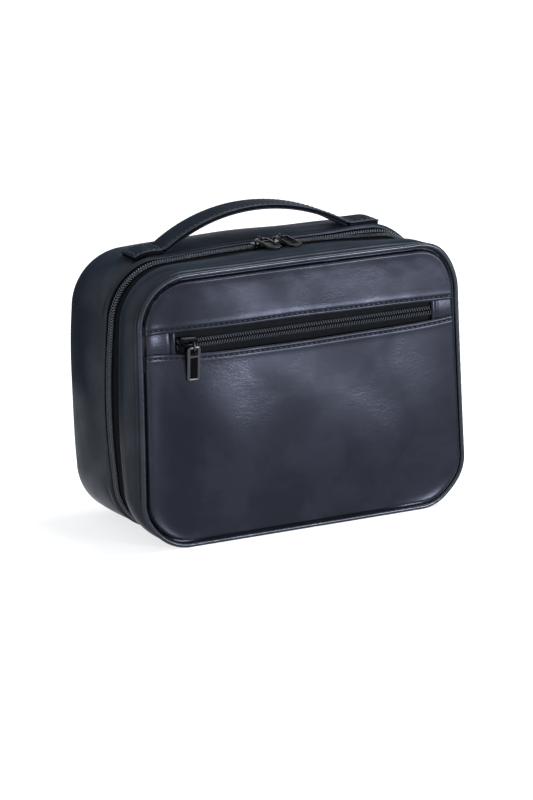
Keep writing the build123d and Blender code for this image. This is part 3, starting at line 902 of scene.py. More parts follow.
def end_piece(name, inner_x, side):
    """A flat piece from the seam to the window, slightly puffed, with a rolled rim at its inner edge and a
    groove beside it."""
    outer_x = side * (seam_width / 2 - 0.3)
    share = np.linspace(0, 1, 22)[:, None]
    height = np.linspace(window_low - end_margin, window_high + end_margin, 15)[None]
    x = outer_x + (inner_x + side * fold_radius - outer_x) * share + 0 * height
    z = height + 0 * x
    sunk = 1.5 - 0.5 * np.sin(np.pi * np.clip((height - window_low) / (window_high - window_low), 0, 1))
    from_rim = np.abs(x - inner_x)
    sunk = sunk + 0.45 * bell(from_rim, 4.0, 0.6) - 0.5 * bell(from_rim, 1.6, 1.2)
    pinned = np.clip(seam_distance(x, z) / 4, 0, 1)
    face = np.stack([x, front_surface(x, z) + sunk, z], -1)
    return solid(name, folded(face, pinned, fold_radius, 0, side, 7), loop_rows=True)


for end_name, end_x, end_side in (("left", window_left, -1), ("right", window_right, 1)):
    piece = end_piece(f"pocket_tab_{end_name}_leather", end_x, end_side)
    fit(piece, panel_leather, "lid", "black_leather", f"pocket_tab_{end_name}")


# Stitches. Black polyester thread, sewn in straight rows along the folded edges of the window.
# Each stitch is a short rounded bar that dips into the sheet at both ends.

stitch_length = 2.4
stitch_gap = 1.4
stitch_dip = 0.35
stitch_slant = 0.10
thread_radius = 0.34


def measured(line):
    """The length along a line of points, up to each point."""
    return np.concatenate([[0], np.cumsum(np.linalg.norm(np.diff(line, axis=0), axis=1))])


def at_lengths(values, lengths, wanted):
    """Values of a line's points, read off at the wanted lengths."""
    return np.stack([np.interp(wanted, lengths, column) for column in values.T], -1)


def stitch_row(line, outward):
    """Stitches at even steps along a line.

    Each is a six-sided bar, thin and sunk at its ends by powers of the distance from its middle, set in a
    frame of the line's direction, the outward direction and their cross product, and a little aslant.
    """
    lengths = measured(line)
    step = stitch_length + stitch_gap
    count = int(lengths[-1] // step)
    start = (lengths[-1] - count * step) / 2 + step / 2
    middles = start + step * np.arange(count)
    centre = at_lengths(line, lengths, middles)
    ahead = unit(at_lengths(line, lengths, middles + 0.6) - at_lengths(line, lengths, middles - 0.6))
    out = unit(at_lengths(outward, lengths, middles))
    beside = unit(np.cross(ahead, out))
    out = np.cross(beside, ahead)
    ahead = unit(ahead + beside * stitch_slant)
    along = np.linspace(-1, 1, 6)
    thickness = thread_radius * (1 - along**6 * 0.75)
    sunk = thread_radius * 0.35 - stitch_dip * along**4
    turn = np.radians(np.arange(0, 360, 60))
    local = np.zeros((len(along), len(turn), 3))
    local[..., 0] = (along * stitch_length / 2)[:, None]
    local[..., 1] = thickness[:, None] * np.cos(turn) + sunk[:, None]
    local[..., 2] = thickness[:, None] * np.sin(turn) * 1.15
    axes = np.stack([ahead, out, beside], 1)
    return centre[:, None, None] + np.einsum("rci,nij->nrcj", local, axes)


def thread(name, dark, light):
    """Waxed black thread: a fine twist across the stitch and a soft shine."""
    material, tree = new_material(name)
    place = put(tree, "TexCoord").outputs["Object"]
    aslant = turned(tree, place, (20, 30, 40), (1, 1, 1))
    twist = put(tree, "TexWave", {"Vector": aslant, "Scale": 900.0, "Distortion": 1.0}).outputs["Fac"]
    inputs = {
        "Base Color": blend_colours(tree, twist, dark, light),
        "Roughness": 0.5,
        "Specular IOR Level": 0.1,
        "Normal": relief(tree, twist, 0.6, 0.00008),
    }
    surfaced(tree, inputs)
    return material


black_thread = thread("black_thread", (0.002, 0.002, 0.003), (0.005, 0.005, 0.007))
row_half = seam_half_width(window_high) * seam_flare(window_high) - 3.0
row_x = np.linspace(-row_half, row_half, 240)
row_out = np.tile([0.0, -1.0, 0.0], (len(row_x), 1))
for row_name, row_side in (("pocket_stitches_upper", 1), ("pocket_stitches_lower", -1)):
    row_z = window_edge(row_x, row_side) + row_side * stitch_line
    row_line = np.stack([row_x, front_surface(row_x, row_z) + 0.14, row_z], -1)
    stitches = rod(row_name, stitch_row(row_line, row_out))
    fit(stitches, black_thread, "lid", "black_leather")


# Pocket zip. Two woven tapes sewn behind the window, each with a coil of black nylon wire sewn to its edge.
# The turns of one coil sit between the turns of the other.

coil_pitch = 1.8
wire_radius = 0.34
coil_half_width = 1.42
coil_half_height = 0.95
row_middle = 1.74
coil_lean = 0.35
coil_steps = 8
wire_sides = 6
tape_thickness = 0.6
rib_height = 0.16


def coil(length, centre, outward, across, shift=0.0):
    """A flattened helix of wire along a path.

    Round each turn the wire's middle is the path's centre, plus the across direction times the half
    width and the cosine, plus the outward direction times the half height and the sine, and it leans
    back along the path by the cosine. The three arguments after the length are functions of the length
    along the path, across points away from the other row, and the shift turns the whole helix.
    """
    turns = int(length / coil_pitch)
    turn = np.linspace(0, turns * 2 * np.pi, turns * coil_steps + 1)
    place = turn / (2 * np.pi) * coil_pitch + (length - turns * coil_pitch) / 2
    out = outward(place)
    side = across(place)
    turn = (turn + shift)[:, None]
    leant = np.clip(place - coil_lean * np.cos(turn[:, 0]), 0, length)
    middle = centre(leant) + side * coil_half_width * np.cos(turn) + out * coil_half_height * np.sin(turn)
    ahead = unit(np.gradient(middle, axis=0))
    away = unit(side * coil_half_height * np.cos(turn) + out * coil_half_width * np.sin(turn))
    away = unit(away - ahead * np.sum(away * ahead, 1)[:, None])
    beside = np.cross(ahead, away)
    around = np.radians(np.arange(0, 360, 360 / wire_sides))[None, :, None]
    return middle[:, None] + wire_radius * (away[:, None] * np.cos(around) + beside[:, None] * np.sin(around))


def nylon(name, dark, light):
    """Black nylon wire, moulded smooth, with a little dust grey in patches."""
    material, tree = new_material(name)
    place = put(tree, "TexCoord").outputs["Object"]
    dust = noise(tree, place, 0.004, 3.0)
    inputs = {
        "Base Color": blend_colours(tree, dust, dark, light),
        "Roughness": blend_values(tree, dust, 0.34, 0.42),
        "Specular IOR Level": 1.0,
        "Specular Tint": (0.75, 0.85, 1.0, 1),
        "Normal": relief(tree, noise(tree, place, 0.0004), 0.4, 0.00004),
    }
    surfaced(tree, inputs)
    return material


def make_weave():
    """Plain weave on the piece's own map: threads over and under each other, each a low rounded bar."""
    group, given, result = new_group("cloth_weave", {"Thread": 0.0005}, ("Height", "Tone"))
    place = put(group, "UVMap", uv_map="surface").outputs[0]
    parts = put(group, "SeparateXYZ", {0: place}).outputs
    turn = maths(group, "DIVIDE", math.pi, given["Thread"])
    warp = maths(group, "SINE", maths(group, "MULTIPLY", parts[0], turn))
    weft = maths(group, "SINE", maths(group, "MULTIPLY", parts[1], turn))
    over = maths(group, "MULTIPLY", warp, weft)
    ribs = maths(group, "ADD", maths(group, "ABSOLUTE", warp), maths(group, "MULTIPLY", over, 0.6))
    group.links.new(ribs, result["Height"])
    group.links.new(noise(group, place, 0.006, 3.0), result["Tone"])
    return group


CLOTH_WEAVE = make_weave()


def cloth(name, tones, thread_width, thread_height, rough, specular):
    """Woven black cloth: a plain weave in relief, a slight cloudiness and a matt surface whose gloss fades
    where it is seen edge on, as painted shade, and is kept a little near the base, as a painted sheen."""
    material, tree = new_material(name)
    woven = use_group(tree, CLOTH_WEAVE, Thread=thread_width)
    inputs = {
        "Base Color": blend_colours(tree, woven["Tone"], *tones),
        "Roughness": rough,
        "Specular IOR Level": edge_faded(tree, specular),
        "Normal": relief(tree, woven["Height"], 0.8, thread_height),
    }
    surfaced(tree, inputs)
    return material


def spread_out(x, y, z):
    """Points from three arrays that are stretched to one grid."""
    return np.stack(np.broadcast_arrays(x, y, z), -1).astype(float)


def two_faced(name, face, back):
    """A thin closed piece between a face and a back that lie on the same grid."""
    return rod(name, np.concatenate([face, back[:, ::-1]], 1))


zip_nylon = nylon("zip_nylon", (0.011, 0.012, 0.016), (0.030, 0.032, 0.040))
zip_cloth = cloth(
    "zip_cloth",
    tones=((0.008, 0.0085, 0.010), (0.015, 0.016, 0.0185)),
    thread_width=0.00055,
    thread_height=0.00012,
    rough=0.9,
    specular=0.04,
)

upper_tape_low, upper_tape_high = edges_of("pocket_tape_upper")
pocket_tape_y = upper_tape_low[1]
pocket_zip_z = (upper_tape_low[2] + edges_of("pocket_tape_lower")[1][2]) / 2
tape_x = np.linspace(upper_tape_low[0], upper_tape_high[0], 80)[:, None]
tape_span = np.array([0.3, 1.2, 4.0, 4.4, 4.8, 7.0, 10.0, upper_tape_high[2] - pocket_zip_z])
tape_front = pocket_tape_y - rib_height * bell(tape_span, 4.4, 0.3) + 0.12 * np.sin(tape_x / 9)

for row_side, row_name in ((1, "upper"), (-1, "lower")):
    tape_face = spread_out(tape_x, tape_front, pocket_zip_z + row_side * tape_span)
    tape_back = tape_face * [1, 0, 1] + [0, pocket_tape_y + tape_thickness, 0]
    tape = two_faced(f"pocket_tape_{row_name}_cloth", tape_face, tape_back)
    fit(tape, zip_cloth, "lid", "zip_tape", f"pocket_tape_{row_name}")

    row_z = pocket_zip_z + row_side * row_middle
    row_y = pocket_tape_y - coil_half_height - wire_radius
    wire = coil(
        window_right - window_left - 0.6,
        lambda place: np.stack([window_left + 0.3 + place, row_y + 0 * place, row_z + 0 * place], -1),
        lambda place: np.tile([0.0, -1.0, 0.0], (len(place), 1)),
        lambda place: np.tile([0.0, 0.0, float(row_side)], (len(place), 1)),
        shift=0 if row_side > 0 else math.pi,
    )
    row = rod(f"pocket_coil_{row_name}_wire", wire)
    fit(row, zip_nylon, "lid", "zip_coil", f"pocket_coil_{row_name}")


# Main zip. Its two tapes run round the bag under the turned edges of both gussets, from one end of the
# cloth hinge to the other, with a nylon coil along each. The lid's tape shows as a broad dark band.

hinge_low, hinge_high = edges_of("hinge_strip")
hinge_gap = (hinge_high[0] + 1.0) / (body_width / 2 - RADII[1])
OPEN_RING = walk_round(56, 40, 18, gap=hinge_gap)
FINE_RING = walk_round(400, 300, 120, gap=hinge_gap)

for body, direction, tape_far in (("shell", 1, shell_edge + 7), ("lid", -1, lid_edge - 7)):
    tape_near = zip_y + direction * 0.3
    tape_width = abs(tape_far - tape_near)
    span = np.unique(np.minimum([0, 1.2, 3.7, 4.05, 4.4, 6.5, 9, tape_width], tape_width))
    tape_y = tape_near + direction * span
    tape_face = skin(tape_y, tape_inset - rib_height * bell(span, 4.05, 0.3), OPEN_RING)
    tape_back = skin(tape_y, 0 * span + tape_inset + tape_thickness, OPEN_RING)
    tape = two_faced(f"{body}_zip_tape_cloth", tape_face.transpose(1, 0, 2), tape_back.transpose(1, 0, 2))
    fit(tape, zip_cloth, body, "zip_tape", f"{body}_zip_tape")

    coil_y = zip_y + direction * row_middle
    coil_inset = tape_inset - coil_half_height - wire_radius
    coil_line = skin([coil_y], [coil_inset], FINE_RING)[0]
    coil_out = unit(coil_line - skin([coil_y], [coil_inset + 1], FINE_RING)[0])
    coil_lengths = measured(coil_line)
    wire = coil(
        coil_lengths[-1],
        lambda place: at_lengths(coil_line, coil_lengths, place),
        lambda place: unit(at_lengths(coil_out, coil_lengths, place)),
        lambda place: np.tile([0.0, float(direction), 0.0], (len(place), 1)),
        shift=0 if direction > 0 else math.pi,
    )
    row = rod(f"{body}_zip_coil_wire", wire)
    fit(row, zip_nylon, body, "zip_coil", f"{body}_zip_coil")


# Hinge. A strip of lining cloth under the bag, sewn to both halves between the ends of the zip.

lining_thickness = 0.6
lining_cloth = cloth(
    "lining_cloth",
    tones=((0.022, 0.022, 0.026), (0.034, 0.034, 0.040)),
    thread_width=0.0005,
    thread_height=0.00008,
    rough=0.75,
    specular=0.3,
)
strip_x = np.linspace(hinge_low[0], hinge_high[0], 40)[:, None]
strip_y = np.linspace(hinge_low[1], hinge_high[1], 28)
strip_z = hinge_low[2] + 0.12 * np.sin(strip_x / 7) * np.cos((strip_y - zip_y) / 12)
strip_under = spread_out(strip_x, strip_y, strip_z)
hinge = two_faced("hinge_cloth", strip_under + [0, 0, lining_thickness], strip_under)
hinge.data.materials.append(lining_cloth)
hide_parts("hinge_strip")
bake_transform(hinge)


# Linings. Each half is lined with dark woven cloth that turns in at the zip and covers its inner face.
# The lid also holds a board, the sheet behind the front pocket, and a slip pocket with an elastic edge.


lining_inset = 3.5


def lined_cup(name, mouth, floor_y, round_radius):
    """A cloth cup in one half of the bag: it runs from the mouth to its floor, turns over a rounded edge and
    closes to the middle, then comes back inside itself a thickness away."""
    inward = 1 if floor_y > mouth else -1
    straight = np.linspace(mouth, floor_y - inward * round_radius, 9)
    turn = np.radians(np.linspace(80, 0, 6))
    ring_y = np.concatenate([straight, floor_y - inward * round_radius * (1 - np.cos(turn))])
    ring_inset = np.concatenate([0 * straight, round_radius * (1 - np.sin(turn))]) + lining_inset
    walls = []
    for depth in (0, lining_thickness):
        wall = skin(ring_y - inward * depth, ring_inset + depth, softness=0.15)
        walls.append(np.concatenate([wall, towards_centre(wall[-1], 8, 0.0)[1:]]))
    return hoop(name, np.concatenate([walls[0], walls[1][::-1]]))


shell_lining = lined_cup("shell_lining_cloth", shell_edge + 0.8, back_y - 3.6, 9.0)
lid_lining = lined_cup("lid_lining_cloth", lid_edge - 0.8, edges_of("lid_lining")[0][1] + 0.3, 3.0)
lined_halves = (("shell", shell_lining, [shell_foam, back_board]), ("lid", lid_lining, [lid_gusset]))
for body, cup, beneath in lined_halves:
    fit(cup, lining_cloth, body, "lining_cloth", f"{body}_lining")

backing_low, backing_high = edges_of("pocket_lining")
pocket_back = hoop("pocket_lining_cloth", slab(backing_high[1], 3.4, puff=0.0, thickness=0.4))
fit(pocket_back, lining_cloth, "lid", "lining_cloth", "pocket_lining")
lid_board = hoop("lid_board_sheet", slab(edges_of("lid_board")[1][1] - 0.2, 3.6, puff=0.0, thickness=1.4))
fit(lid_board, board_grey, "lid", "stiff_board", "lid_board")

slip_gather = 0.5
slip_fullness = 1.2
slip_cloth = 0.5
band_cloth = 1.0
slip_low, slip_high = edges_of("inner_pocket")
slip_x = np.linspace(slip_low[0], slip_high[0], 60)[:, None]
slip_share = np.linspace(0, 1, 24)
slip_z = slip_low[2] + (slip_high[2] - 8 - slip_low[2]) * slip_share
slip_y = slip_high[1] + 0.5 + slip_fullness * slip_share + slip_gather * np.sin(slip_x * 0.9) * slip_share**2
slip_front = spread_out(slip_x, slip_y, slip_z)
slip_pocket = two_faced("inner_pocket_cloth", slip_front, slip_front - [0, slip_cloth, 0])
fit(slip_pocket, lining_cloth, "lid", "lining_cloth", "inner_pocket")

elastic_black = cloth(
    "ribbed_elastic",
    tones=((0.010, 0.010, 0.012), (0.018, 0.018, 0.020)),
    thread_width=0.0012,
    thread_height=0.0003,
    rough=0.7,
    specular=0.3,
)
band_low, band_high = edges_of("inner_pocket_elastic")
band_z = np.linspace(band_low[2], band_high[2], 8)
band_y = band_high[1] + slip_fullness + 0.25 * np.sin(slip_x * 1.8)
band_front = spread_out(slip_x, band_y, band_z)
elastic = two_faced("inner_pocket_elastic_band", band_front, band_front - [0, band_cloth, 0])
fit(elastic, elastic_black, "lid", "elastic", "inner_pocket_elastic")


# Sliders and pullers. Each slider is cast: two plates, joined by a post between the coils, with a bridge on
# top. A small link hangs the puller on the bridge. The sliders are lacquered black, and the pullers are
# gunmetal. The main pullers have a darker copy of it, painted shade, and the sunk web of each puller has the
# sliders' black, painted shade in its hollow.


def make_metal(name, tone, smooth, rough):
    """Dark lacquered metal: faint brushing along the piece and worn, smoother patches."""
    material, tree = new_material(name)
    place = put(tree, "TexCoord").outputs["Object"]
    inputs = {
        "Base Color": (*tone, 1),
        "Metallic": 1.0,
        "Roughness": blend_values(tree, noise(tree, place, 0.003, 3.0), smooth, rough),
        "Normal": relief(tree, noise(tree, place, 0.0006, 3.0), 0.5, 0.00002),
    }
    surfaced(tree, inputs)
    return material


gunmetal = make_metal("gunmetal", (0.050, 0.051, 0.057), 0.09, 0.15)
# A darker copy of the gunmetal for the main pullers: painted shade.
shaded_gunmetal = make_metal("shaded_gunmetal", (0.011, 0.011, 0.013), 0.12, 0.2)
# The sliders' black lacquer, which also darkens the pullers' sunk webs as painted shade.
black_lacquer_and_shade = make_metal("black_lacquer_and_shade", (0.004, 0.004, 0.005), 0.16, 0.26)

X = np.array([1.0, 0.0, 0.0])
Y = np.array([0.0, 1.0, 0.0])
Z = np.array([0.0, 0.0, 1.0])
PLATE_HALF = (6.5, 5.5)
plate_low = 2.5
plate_high = 3.8
plate_dome = 0.12
under_high = -1.0
under_low = -2.3
skirt_out = 4.3
post_along = 3.8
bridge_half = 4.1
bridge_rise = 2.6
pivot_high = 6.4
link_reach = 2.6
link_half = 1.62
link_wire = 0.55
puller_top = 1.1
puller_length = 24.2
puller_half = 4.9
puller_half_thick = 0.95
puller_window = 7.0
rail_half = 1.2
web_half_thick = 0.2
bar_half_thick = 0.75


def set_frame(points, origin, u, v, w):
    """Moves points from a piece's own axes to the bag's."""
    return origin + np.asarray(points, float) @ np.stack([u, v, w])


def rounded_bar(half_a, half_b, corner, steps=4):
    """The outline of a rounded rectangle round the origin, as points: a quarter circle at each corner."""
    arcs = []
    for quarter, side_a, side_b in ((0, 1, 1), (1, -1, 1), (2, -1, -1), (3, 1, -1)):
        turn = np.radians(np.linspace(0, 90, steps) + 90 * quarter)
        centre = (side_a * (half_a - corner), side_b * (half_b - corner))
        arcs.append(centre + corner * np.stack([np.cos(turn), np.sin(turn)], -1))
    return np.concatenate(arcs)


def raised(outline, *heights):
    """Rows that hold an outline at each of the heights."""
    return np.stack([np.column_stack([outline, np.full(len(outline), height)]) for height in heights])


def carried(path, side, up, section):
    """A section carried along a path, with its two axes along the side and the up direction."""
    return path[:, None] + side[..., None, :] * section[None, :, :1] + up[..., None, :] * section[None, :, 1:]


def slider_plate(mouth, low, high, dome):
    """A plate of the slider, narrower towards its back: rows go up its rounded side and over its domed top to
    the middle."""
    outline = rounded_bar(*PLATE_HALF, 2.0, 7)
    narrow = 1 - 0.075 * (1 - mouth * outline[:, 0] / PLATE_HALF[0])
    outline = outline * np.stack([np.ones(len(outline)), narrow], -1)
    share = (0.0, 0.9, 0.97, 1.0, 1.0, 0.975, 0.9, 0.6, 0.0)
    side_heights = (low, low, low + 0.1, low + 0.35, high - 0.45, high - 0.1)
    heights = (*side_heights, high, high + dome * 0.7, high + dome)
    rows = raised(outline, *heights)
    rows[..., :2] *= np.array(share)[:, None, None]
    return rows


def slider_bridge():
    """The bridge over the top plate: a flat bar carried along an arch, which is a half circle whose cosine
    and sine are raised to a power below one, so that it is nearly square."""
    lean = np.radians(np.linspace(180, 0, 25))
    arch = np.sign(np.cos(lean)) * np.abs(np.cos(lean)) ** 0.55 * bridge_half
    rise = plate_high + bridge_rise * np.sin(lean) ** 0.55
    path = np.stack([arch, 0 * arch, rise], -1)
    path[[0, -1], 2] -= 0.6
    ahead = unit(np.gradient(path, axis=0))
    up = unit(np.cross(ahead, Y))
    return carried(path, unit(np.cross(ahead, up)), up, rounded_bar(0.95, 0.62, 0.3, 3))


def joined(name, pieces, finishes):
    """Several pieces as one object, each with its own finish."""
    for piece, finish in zip(pieces, finishes):
        piece.data.materials.append(finish)
    with bpy.context.temp_override(active_object=pieces[0], selected_editable_objects=pieces):
        bpy.ops.object.join()
    pieces[0].name = name
    return pieces[0]


def zip_slider(name, place, mouth, skirts):
    """One slider in its frame, made of its plates, bridge, post and skirts."""
    top_plate = slider_plate(mouth, plate_low, plate_high, plate_dome)
    under_plate = slider_plate(mouth, under_low, under_high, 0.0)
    parts = [
        solid(name + "_top", set_frame(top_plate, *place), loop_columns=True),
        solid(name + "_under", set_frame(under_plate, *place), loop_columns=True),
        rod(name + "_bridge", set_frame(slider_bridge(), *place)),
    ]
    for side in skirts:
        skirt = raised(rounded_bar(5.2, 0.45, 0.3, 3) + [0, side * skirt_out], 0.4, plate_low + 0.2)
        parts.append(rod(name + "_skirt", set_frame(skirt, *place)))
    post = raised(rounded_bar(1.5, 0.2, 0.1, 2) + [mouth * post_along, 0], under_high - 0.2, plate_low + 0.2)
    parts.append(rod(name + "_post", set_frame(post, *place)))
    return joined(name, parts, [black_lacquer_and_shade] * len(parts))


def puller_parts(name, place, metal):
    """One puller in the frame of its pivot: a link round the bridge, and a plate with a window at its top,
    two raised rails along its sides and a sunk web between them."""
    turn = np.radians(np.arange(0, 360, 15))
    flattened = np.sign(np.cos(turn)) * np.abs(np.cos(turn)) ** 0.85
    reach = -link_reach / 2 - (link_reach / 2 + link_half) * flattened
    path = np.stack([0 * turn, reach, link_half * np.sin(turn)], -1)
    ahead = unit(np.gradient(np.concatenate([path[-1:], path, path[:1]]), axis=0))[1:-1]
    up = unit(np.cross(ahead, X))
    circle = np.radians(np.arange(0, 360, 36))
    wire = np.stack([np.cos(circle), np.sin(circle)], -1) * link_wire
    link = hoop(name + "_link", set_frame(carried(path, np.cross(ahead, up), up, wire), *place))

    outline = rounded_bar(puller_half - rail_half, puller_length / 2 - rail_half, 1.1, 5)
    ring = raised(outline + [0, -puller_top - puller_length / 2], 0)[0]
    looped = np.concatenate([ring[-1:], ring, ring[:1]])
    outwards = unit(np.cross(unit(looped[2:] - looped[:-2]), Z))
    section = rounded_bar(rail_half, puller_half_thick, 0.93, 6)
    rails = hoop(name + "_rails", set_frame(carried(ring, outwards, Z, section), *place))
    web_high = -puller_top - puller_window
    web_low = -puller_top - puller_length + 0.8
    web = rounded_bar(puller_half - 1.0, (web_high - web_low) / 2, 0.2, 3) + [0, (web_high + web_low) / 2]
    web_piece = rod(name + "_web", set_frame(raised(web, -web_half_thick, web_half_thick), *place))
    bar = rounded_bar(puller_half - 1.0, 0.7, 0.3, 3) + [0, web_high]
    bar_piece = rod(name + "_bar", set_frame(raised(bar, -bar_half_thick, bar_half_thick), *place))
    # The web takes the sliders' black: painted shade in the puller's sunk middle.
    return link, joined(name, [rails, web_piece, bar_piece], [metal, black_lacquer_and_shade, metal])


def pull_frame(place, link_offset, tilt):
    """The frame of a puller at its pivot over the slider: the plate runs down -v, tilted towards the bag."""
    origin, u, v, w = place
    pivot = origin + u * link_offset + w * pivot_high
    across = v * math.cos(tilt) + w * math.sin(tilt)
    return pivot, u, across, np.cross(u, across)


slider_low, slider_high = edges_of("pocket_slider")
pocket_place = (slider_low + slider_high) / 2 * [1, 0, 1] + [0, pocket_tape_y, 0]
zip_pulls = [("pocket", pocket_place, (X, Z, -Y), -1, (-1, 1), 2.9, gunmetal)]
for side, side_name in ((-1, "left"), (1, "right")):
    slider_low, slider_high = edges_of(f"main_{side_name}_slider")
    top_place = np.array([(slider_low[0] + slider_high[0]) / 2, zip_y, body_top - tape_inset])
    # the main pullers take the darker copy of the gunmetal, painted shade
    zip_pulls.append((f"main_{side_name}", top_place, (X, Y, Z), -side, (1,), side * 0.8, shaded_gunmetal))

for pull_name, origin, axes, mouth, skirts, offset, metal in zip_pulls:
    puller_low, puller_high = edges_of(f"{pull_name}_puller")
    place = (origin, *axes)
    hanging = (puller_low + puller_high) / 2 - (origin + axes[2] * pivot_high)
    tilt = math.atan2(-(hanging @ axes[2]), -(hanging @ axes[1]))
    slider = zip_slider(f"{pull_name}_slider_cast", place, mouth, skirts)
    fit(slider, black_lacquer_and_shade, f"{pull_name}_slider", "gunmetal", f"{pull_name}_slider")
    link, puller = puller_parts(f"{pull_name}_puller_plate", pull_frame(place, offset, tilt), metal)
    fit(link, metal, f"{pull_name}_puller", "gunmetal", f"{pull_name}_link")
    fit(puller, metal, f"{pull_name}_puller", "gunmetal", f"{pull_name}_puller")


# Handle. A strap of two leather-look sheets over a soft core, sewn along both edges. It arches over the
# top and is box-sewn to a pad at each end, over a stiff plate inside the gusset.

strap_low, strap_high = edges_of("handle_strap")
strap_half = (strap_high[1] - strap_low[1]) / 2
FOOT_X = (-76.25, 69.0)
END_X = (-93.3, 87.0)
BREAK_BEFORE = 4.65
strap_total = 3.6
top_sheet = 1.1
bend_radius = 16.0
edge_round = 0.6
crown_x = (FOOT_X[0] + FOOT_X[1]) / 2
crown_z = strap_high[2] - strap_total

ridge_row = skin([handle_y], [0.0])[0]
ridge_row = ridge_row[ridge_row[:, 2] > body_top * 0.7]
ridge_row = ridge_row[np.argsort(ridge_row[:, 0])]


def top_height(x):
    """Height of the bag's top under the middle of the strap, with the little air left under the pads."""
    return np.interp(x, ridge_row[:, 0], ridge_row[:, 2]) + 0.3


def strap_half_path(foot_x, end_x):
    """Half of the strap's under side, from its top to one end, as distance from the top and height.

    A wide arc leads down from the top, and a small one the other way lays the strap on the bag, which
    it then follows.
    """
    span = abs(foot_x - crown_x)
    rise = crown_z - top_height(foot_x)
    both_radii = (span**2 + rise**2) / (2 * rise)
    bend = math.asin(span / both_radii)
    turn = np.linspace(0, bend, 60)
    crown = both_radii - bend_radius
    arch = np.stack([crown * np.sin(turn), crown_z - crown * (1 - np.cos(turn))], -1)
    turn = np.linspace(bend, 0, 24)[1:]
    foot_z = crown_z - rise + bend_radius * (1 - np.cos(turn))
    foot = np.stack([span - bend_radius * np.sin(turn), foot_z], -1)
    share = np.linspace(0, 1, 24)[1:]
    pad_x = foot_x + (end_x - foot_x) * share
    pad = np.stack([np.abs(pad_x - crown_x), top_height(pad_x)], -1)
    return np.concatenate([arch, foot, pad])


def strap_path():
    """The under side of the strap from one end to the other at even steps, with its outward direction."""
    left = strap_half_path(FOOT_X[0], END_X[0])
    right = strap_half_path(FOOT_X[1], END_X[1])
    line = np.concatenate([left[:0:-1] * [-1, 1], right]) + [crown_x, 0]
    line = np.stack([line[:, 0], 0 * line[:, 0] + handle_y, line[:, 1]], -1)
    lengths = measured(line)
    line = at_lengths(line, lengths, np.linspace(0, lengths[-1], 280))
    return line, np.cross(unit(np.gradient(line, axis=0)), Y)


def strap_section(half_width, low, high, crown, groove_at=None):
    """A closed outline across the strap: a flat under side, rounded edges and a slightly crowned top that
    may have a sewn groove and a bead near each edge, both bells."""
    across = np.concatenate([np.linspace(-1, -0.76, 9), np.linspace(-0.7, 0.7, 9), np.linspace(0.76, 1, 9)])
    from_middle = np.abs(across) * half_width
    past = np.clip(from_middle - (half_width - edge_round), 0, edge_round) / edge_round
    edge = np.sqrt(np.clip(1 - past**2, 0, 1))
    top = low + (high - low) * (0.5 + 0.5 * edge) + crown * (1 - across**2)
    if groove_at:
        top = top - 0.32 * bell(from_middle, groove_at, 0.45) + 0.14 * bell(from_middle, half_width - 0.7, 0.3)
    under = low + (high - low) * (0.5 - 0.5 * edge)
    upper = np.stack([across * half_width, top], -1)
    lower = np.stack([across * half_width, under], -1)
    return np.concatenate([upper, lower[-2:0:-1]])


def strap_layer(name, line, out, section, pucker=None):
    """A layer of the strap: its section carried along the line, across Y and along the outward direction.
    A pucker is added to its height at each point."""
    grid = carried(line, Y, out, section)
    if pucker is not None:
        grid = grid + out[:, None] * pucker[..., None]
    return rod(name, grid, sharp=70)


strap_leather = leather(
    "strap_leather",
    tones=((0.008, 0.0095, 0.014), (0.011, 0.0135, 0.020)),
    roughness=(0.30, 0.38),
    specular=0.30,
    shine=(0.72, 0.82, 1.0),
    haze=0.08,
    Creasing=0.5,
    Dents=0.3,
)
edge_black = leather(
    "edge_black",
    tones=((0.002, 0.002, 0.003), (0.004, 0.004, 0.005)),
    roughness=(0.5, 0.6),
    specular=0.05,
    Creasing=0.0,
)
strap_line, strap_out = strap_path()
edge_row = strap_half - 1.7
break_left = FOOT_X[0] + BREAK_BEFORE
break_right = FOOT_X[1] - BREAK_BEFORE
on_arch = (strap_line[:, 0] > break_left + 0.6) & (strap_line[:, 0] < break_right - 0.6)
past_foot = np.maximum(FOOT_X[0] - strap_line[:, :1], strap_line[:, :1] - FOOT_X[1])
top_section = strap_section(strap_half, strap_total - top_sheet, strap_total, 0.25, edge_row)
anchored = np.clip((past_foot + 2) / 4, 0, 1)
along_x, (across_y, section_z) = strap_line[:, :1], top_section.T
wrinkle = np.sin(along_x * 0.55 + across_y * 0.35) * np.sin(across_y * 0.5 - along_x * 0.2)
upper_side = (section_z > strap_total - 0.5) & (np.abs(across_y) < edge_row - 0.6)
crease = 0.5 * bell(past_foot, -BREAK_BEFORE, 0.8)
pucker = (0.22 * wrinkle * anchored - crease) * upper_side
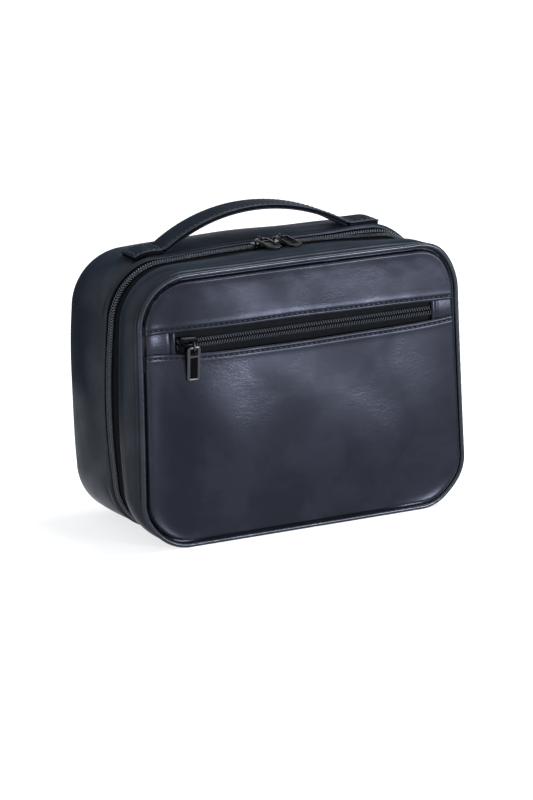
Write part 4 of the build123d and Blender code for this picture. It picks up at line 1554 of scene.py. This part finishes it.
handle_strap = strap_layer("handle_strap_leather", strap_line, strap_out, top_section, pucker)
fit(handle_strap, strap_leather, "shell", "strap_leather", "handle_strap")

arch_line, arch_out = strap_line[on_arch], strap_out[on_arch]
under_section = strap_section(strap_half - 0.15, 0.0, 1.0, 0.0)
under_strap = strap_layer("handle_under_strap_leather", arch_line, arch_out, under_section)
fit(under_strap, strap_leather, "shell", "strap_leather", "handle_under_strap")
core_section = strap_section(strap_half - 0.9, 0.9, strap_total - top_sheet + 0.1, 0.0)
handle_core = strap_layer("handle_core_sheet", arch_line, arch_out, core_section)
fit(handle_core, edge_black, "shell", "padding", "handle_core")
pad_section = strap_section(strap_half - 0.3, 0.0, strap_total - top_sheet - 0.05, 0.0)
left_end = strap_line[:, 0] < break_left - 0.6
right_end = strap_line[:, 0] > break_right + 0.6
for side_name, on_pad in (("left", left_end), ("right", right_end)):
    pad = strap_layer(f"handle_pad_{side_name}_leather", strap_line[on_pad], strap_out[on_pad], pad_section)
    fit(pad, edge_black, "shell", "strap_leather", f"handle_pad_{side_name}")

handle_thread = thread("handle_thread", (0.045, 0.048, 0.057), (0.12, 0.125, 0.14))
rows = []
inside = (strap_line[:, 0] > END_X[0] + 1.7) & (strap_line[:, 0] < END_X[1] - 1.7)
for row_y in (-edge_row, edge_row):
    edge_line = strap_line + strap_out * (strap_total - 0.02) + [0, row_y, 0]
    rows.append(stitch_row(edge_line[inside], strap_out[inside]))
for cross_x in (END_X[0] + 1.9, FOOT_X[0] + 2.2, FOOT_X[1] - 2.2, END_X[1] - 1.9):
    middle = at_lengths(strap_line, strap_line[:, 0], np.array([cross_x]))[0]
    above = at_lengths(strap_out, strap_line[:, 0], np.array([cross_x]))[0]
    cross = middle + np.linspace(-1, 1, 12)[:, None] * [0, edge_row - 1.2, 0] + above * (strap_total + 0.1)
    rows.append(stitch_row(cross, np.tile(above, (12, 1))))
handle_stitches = rod("handle_stitches", np.concatenate(rows))
fit(handle_stitches, handle_thread, "shell", "strap_leather")
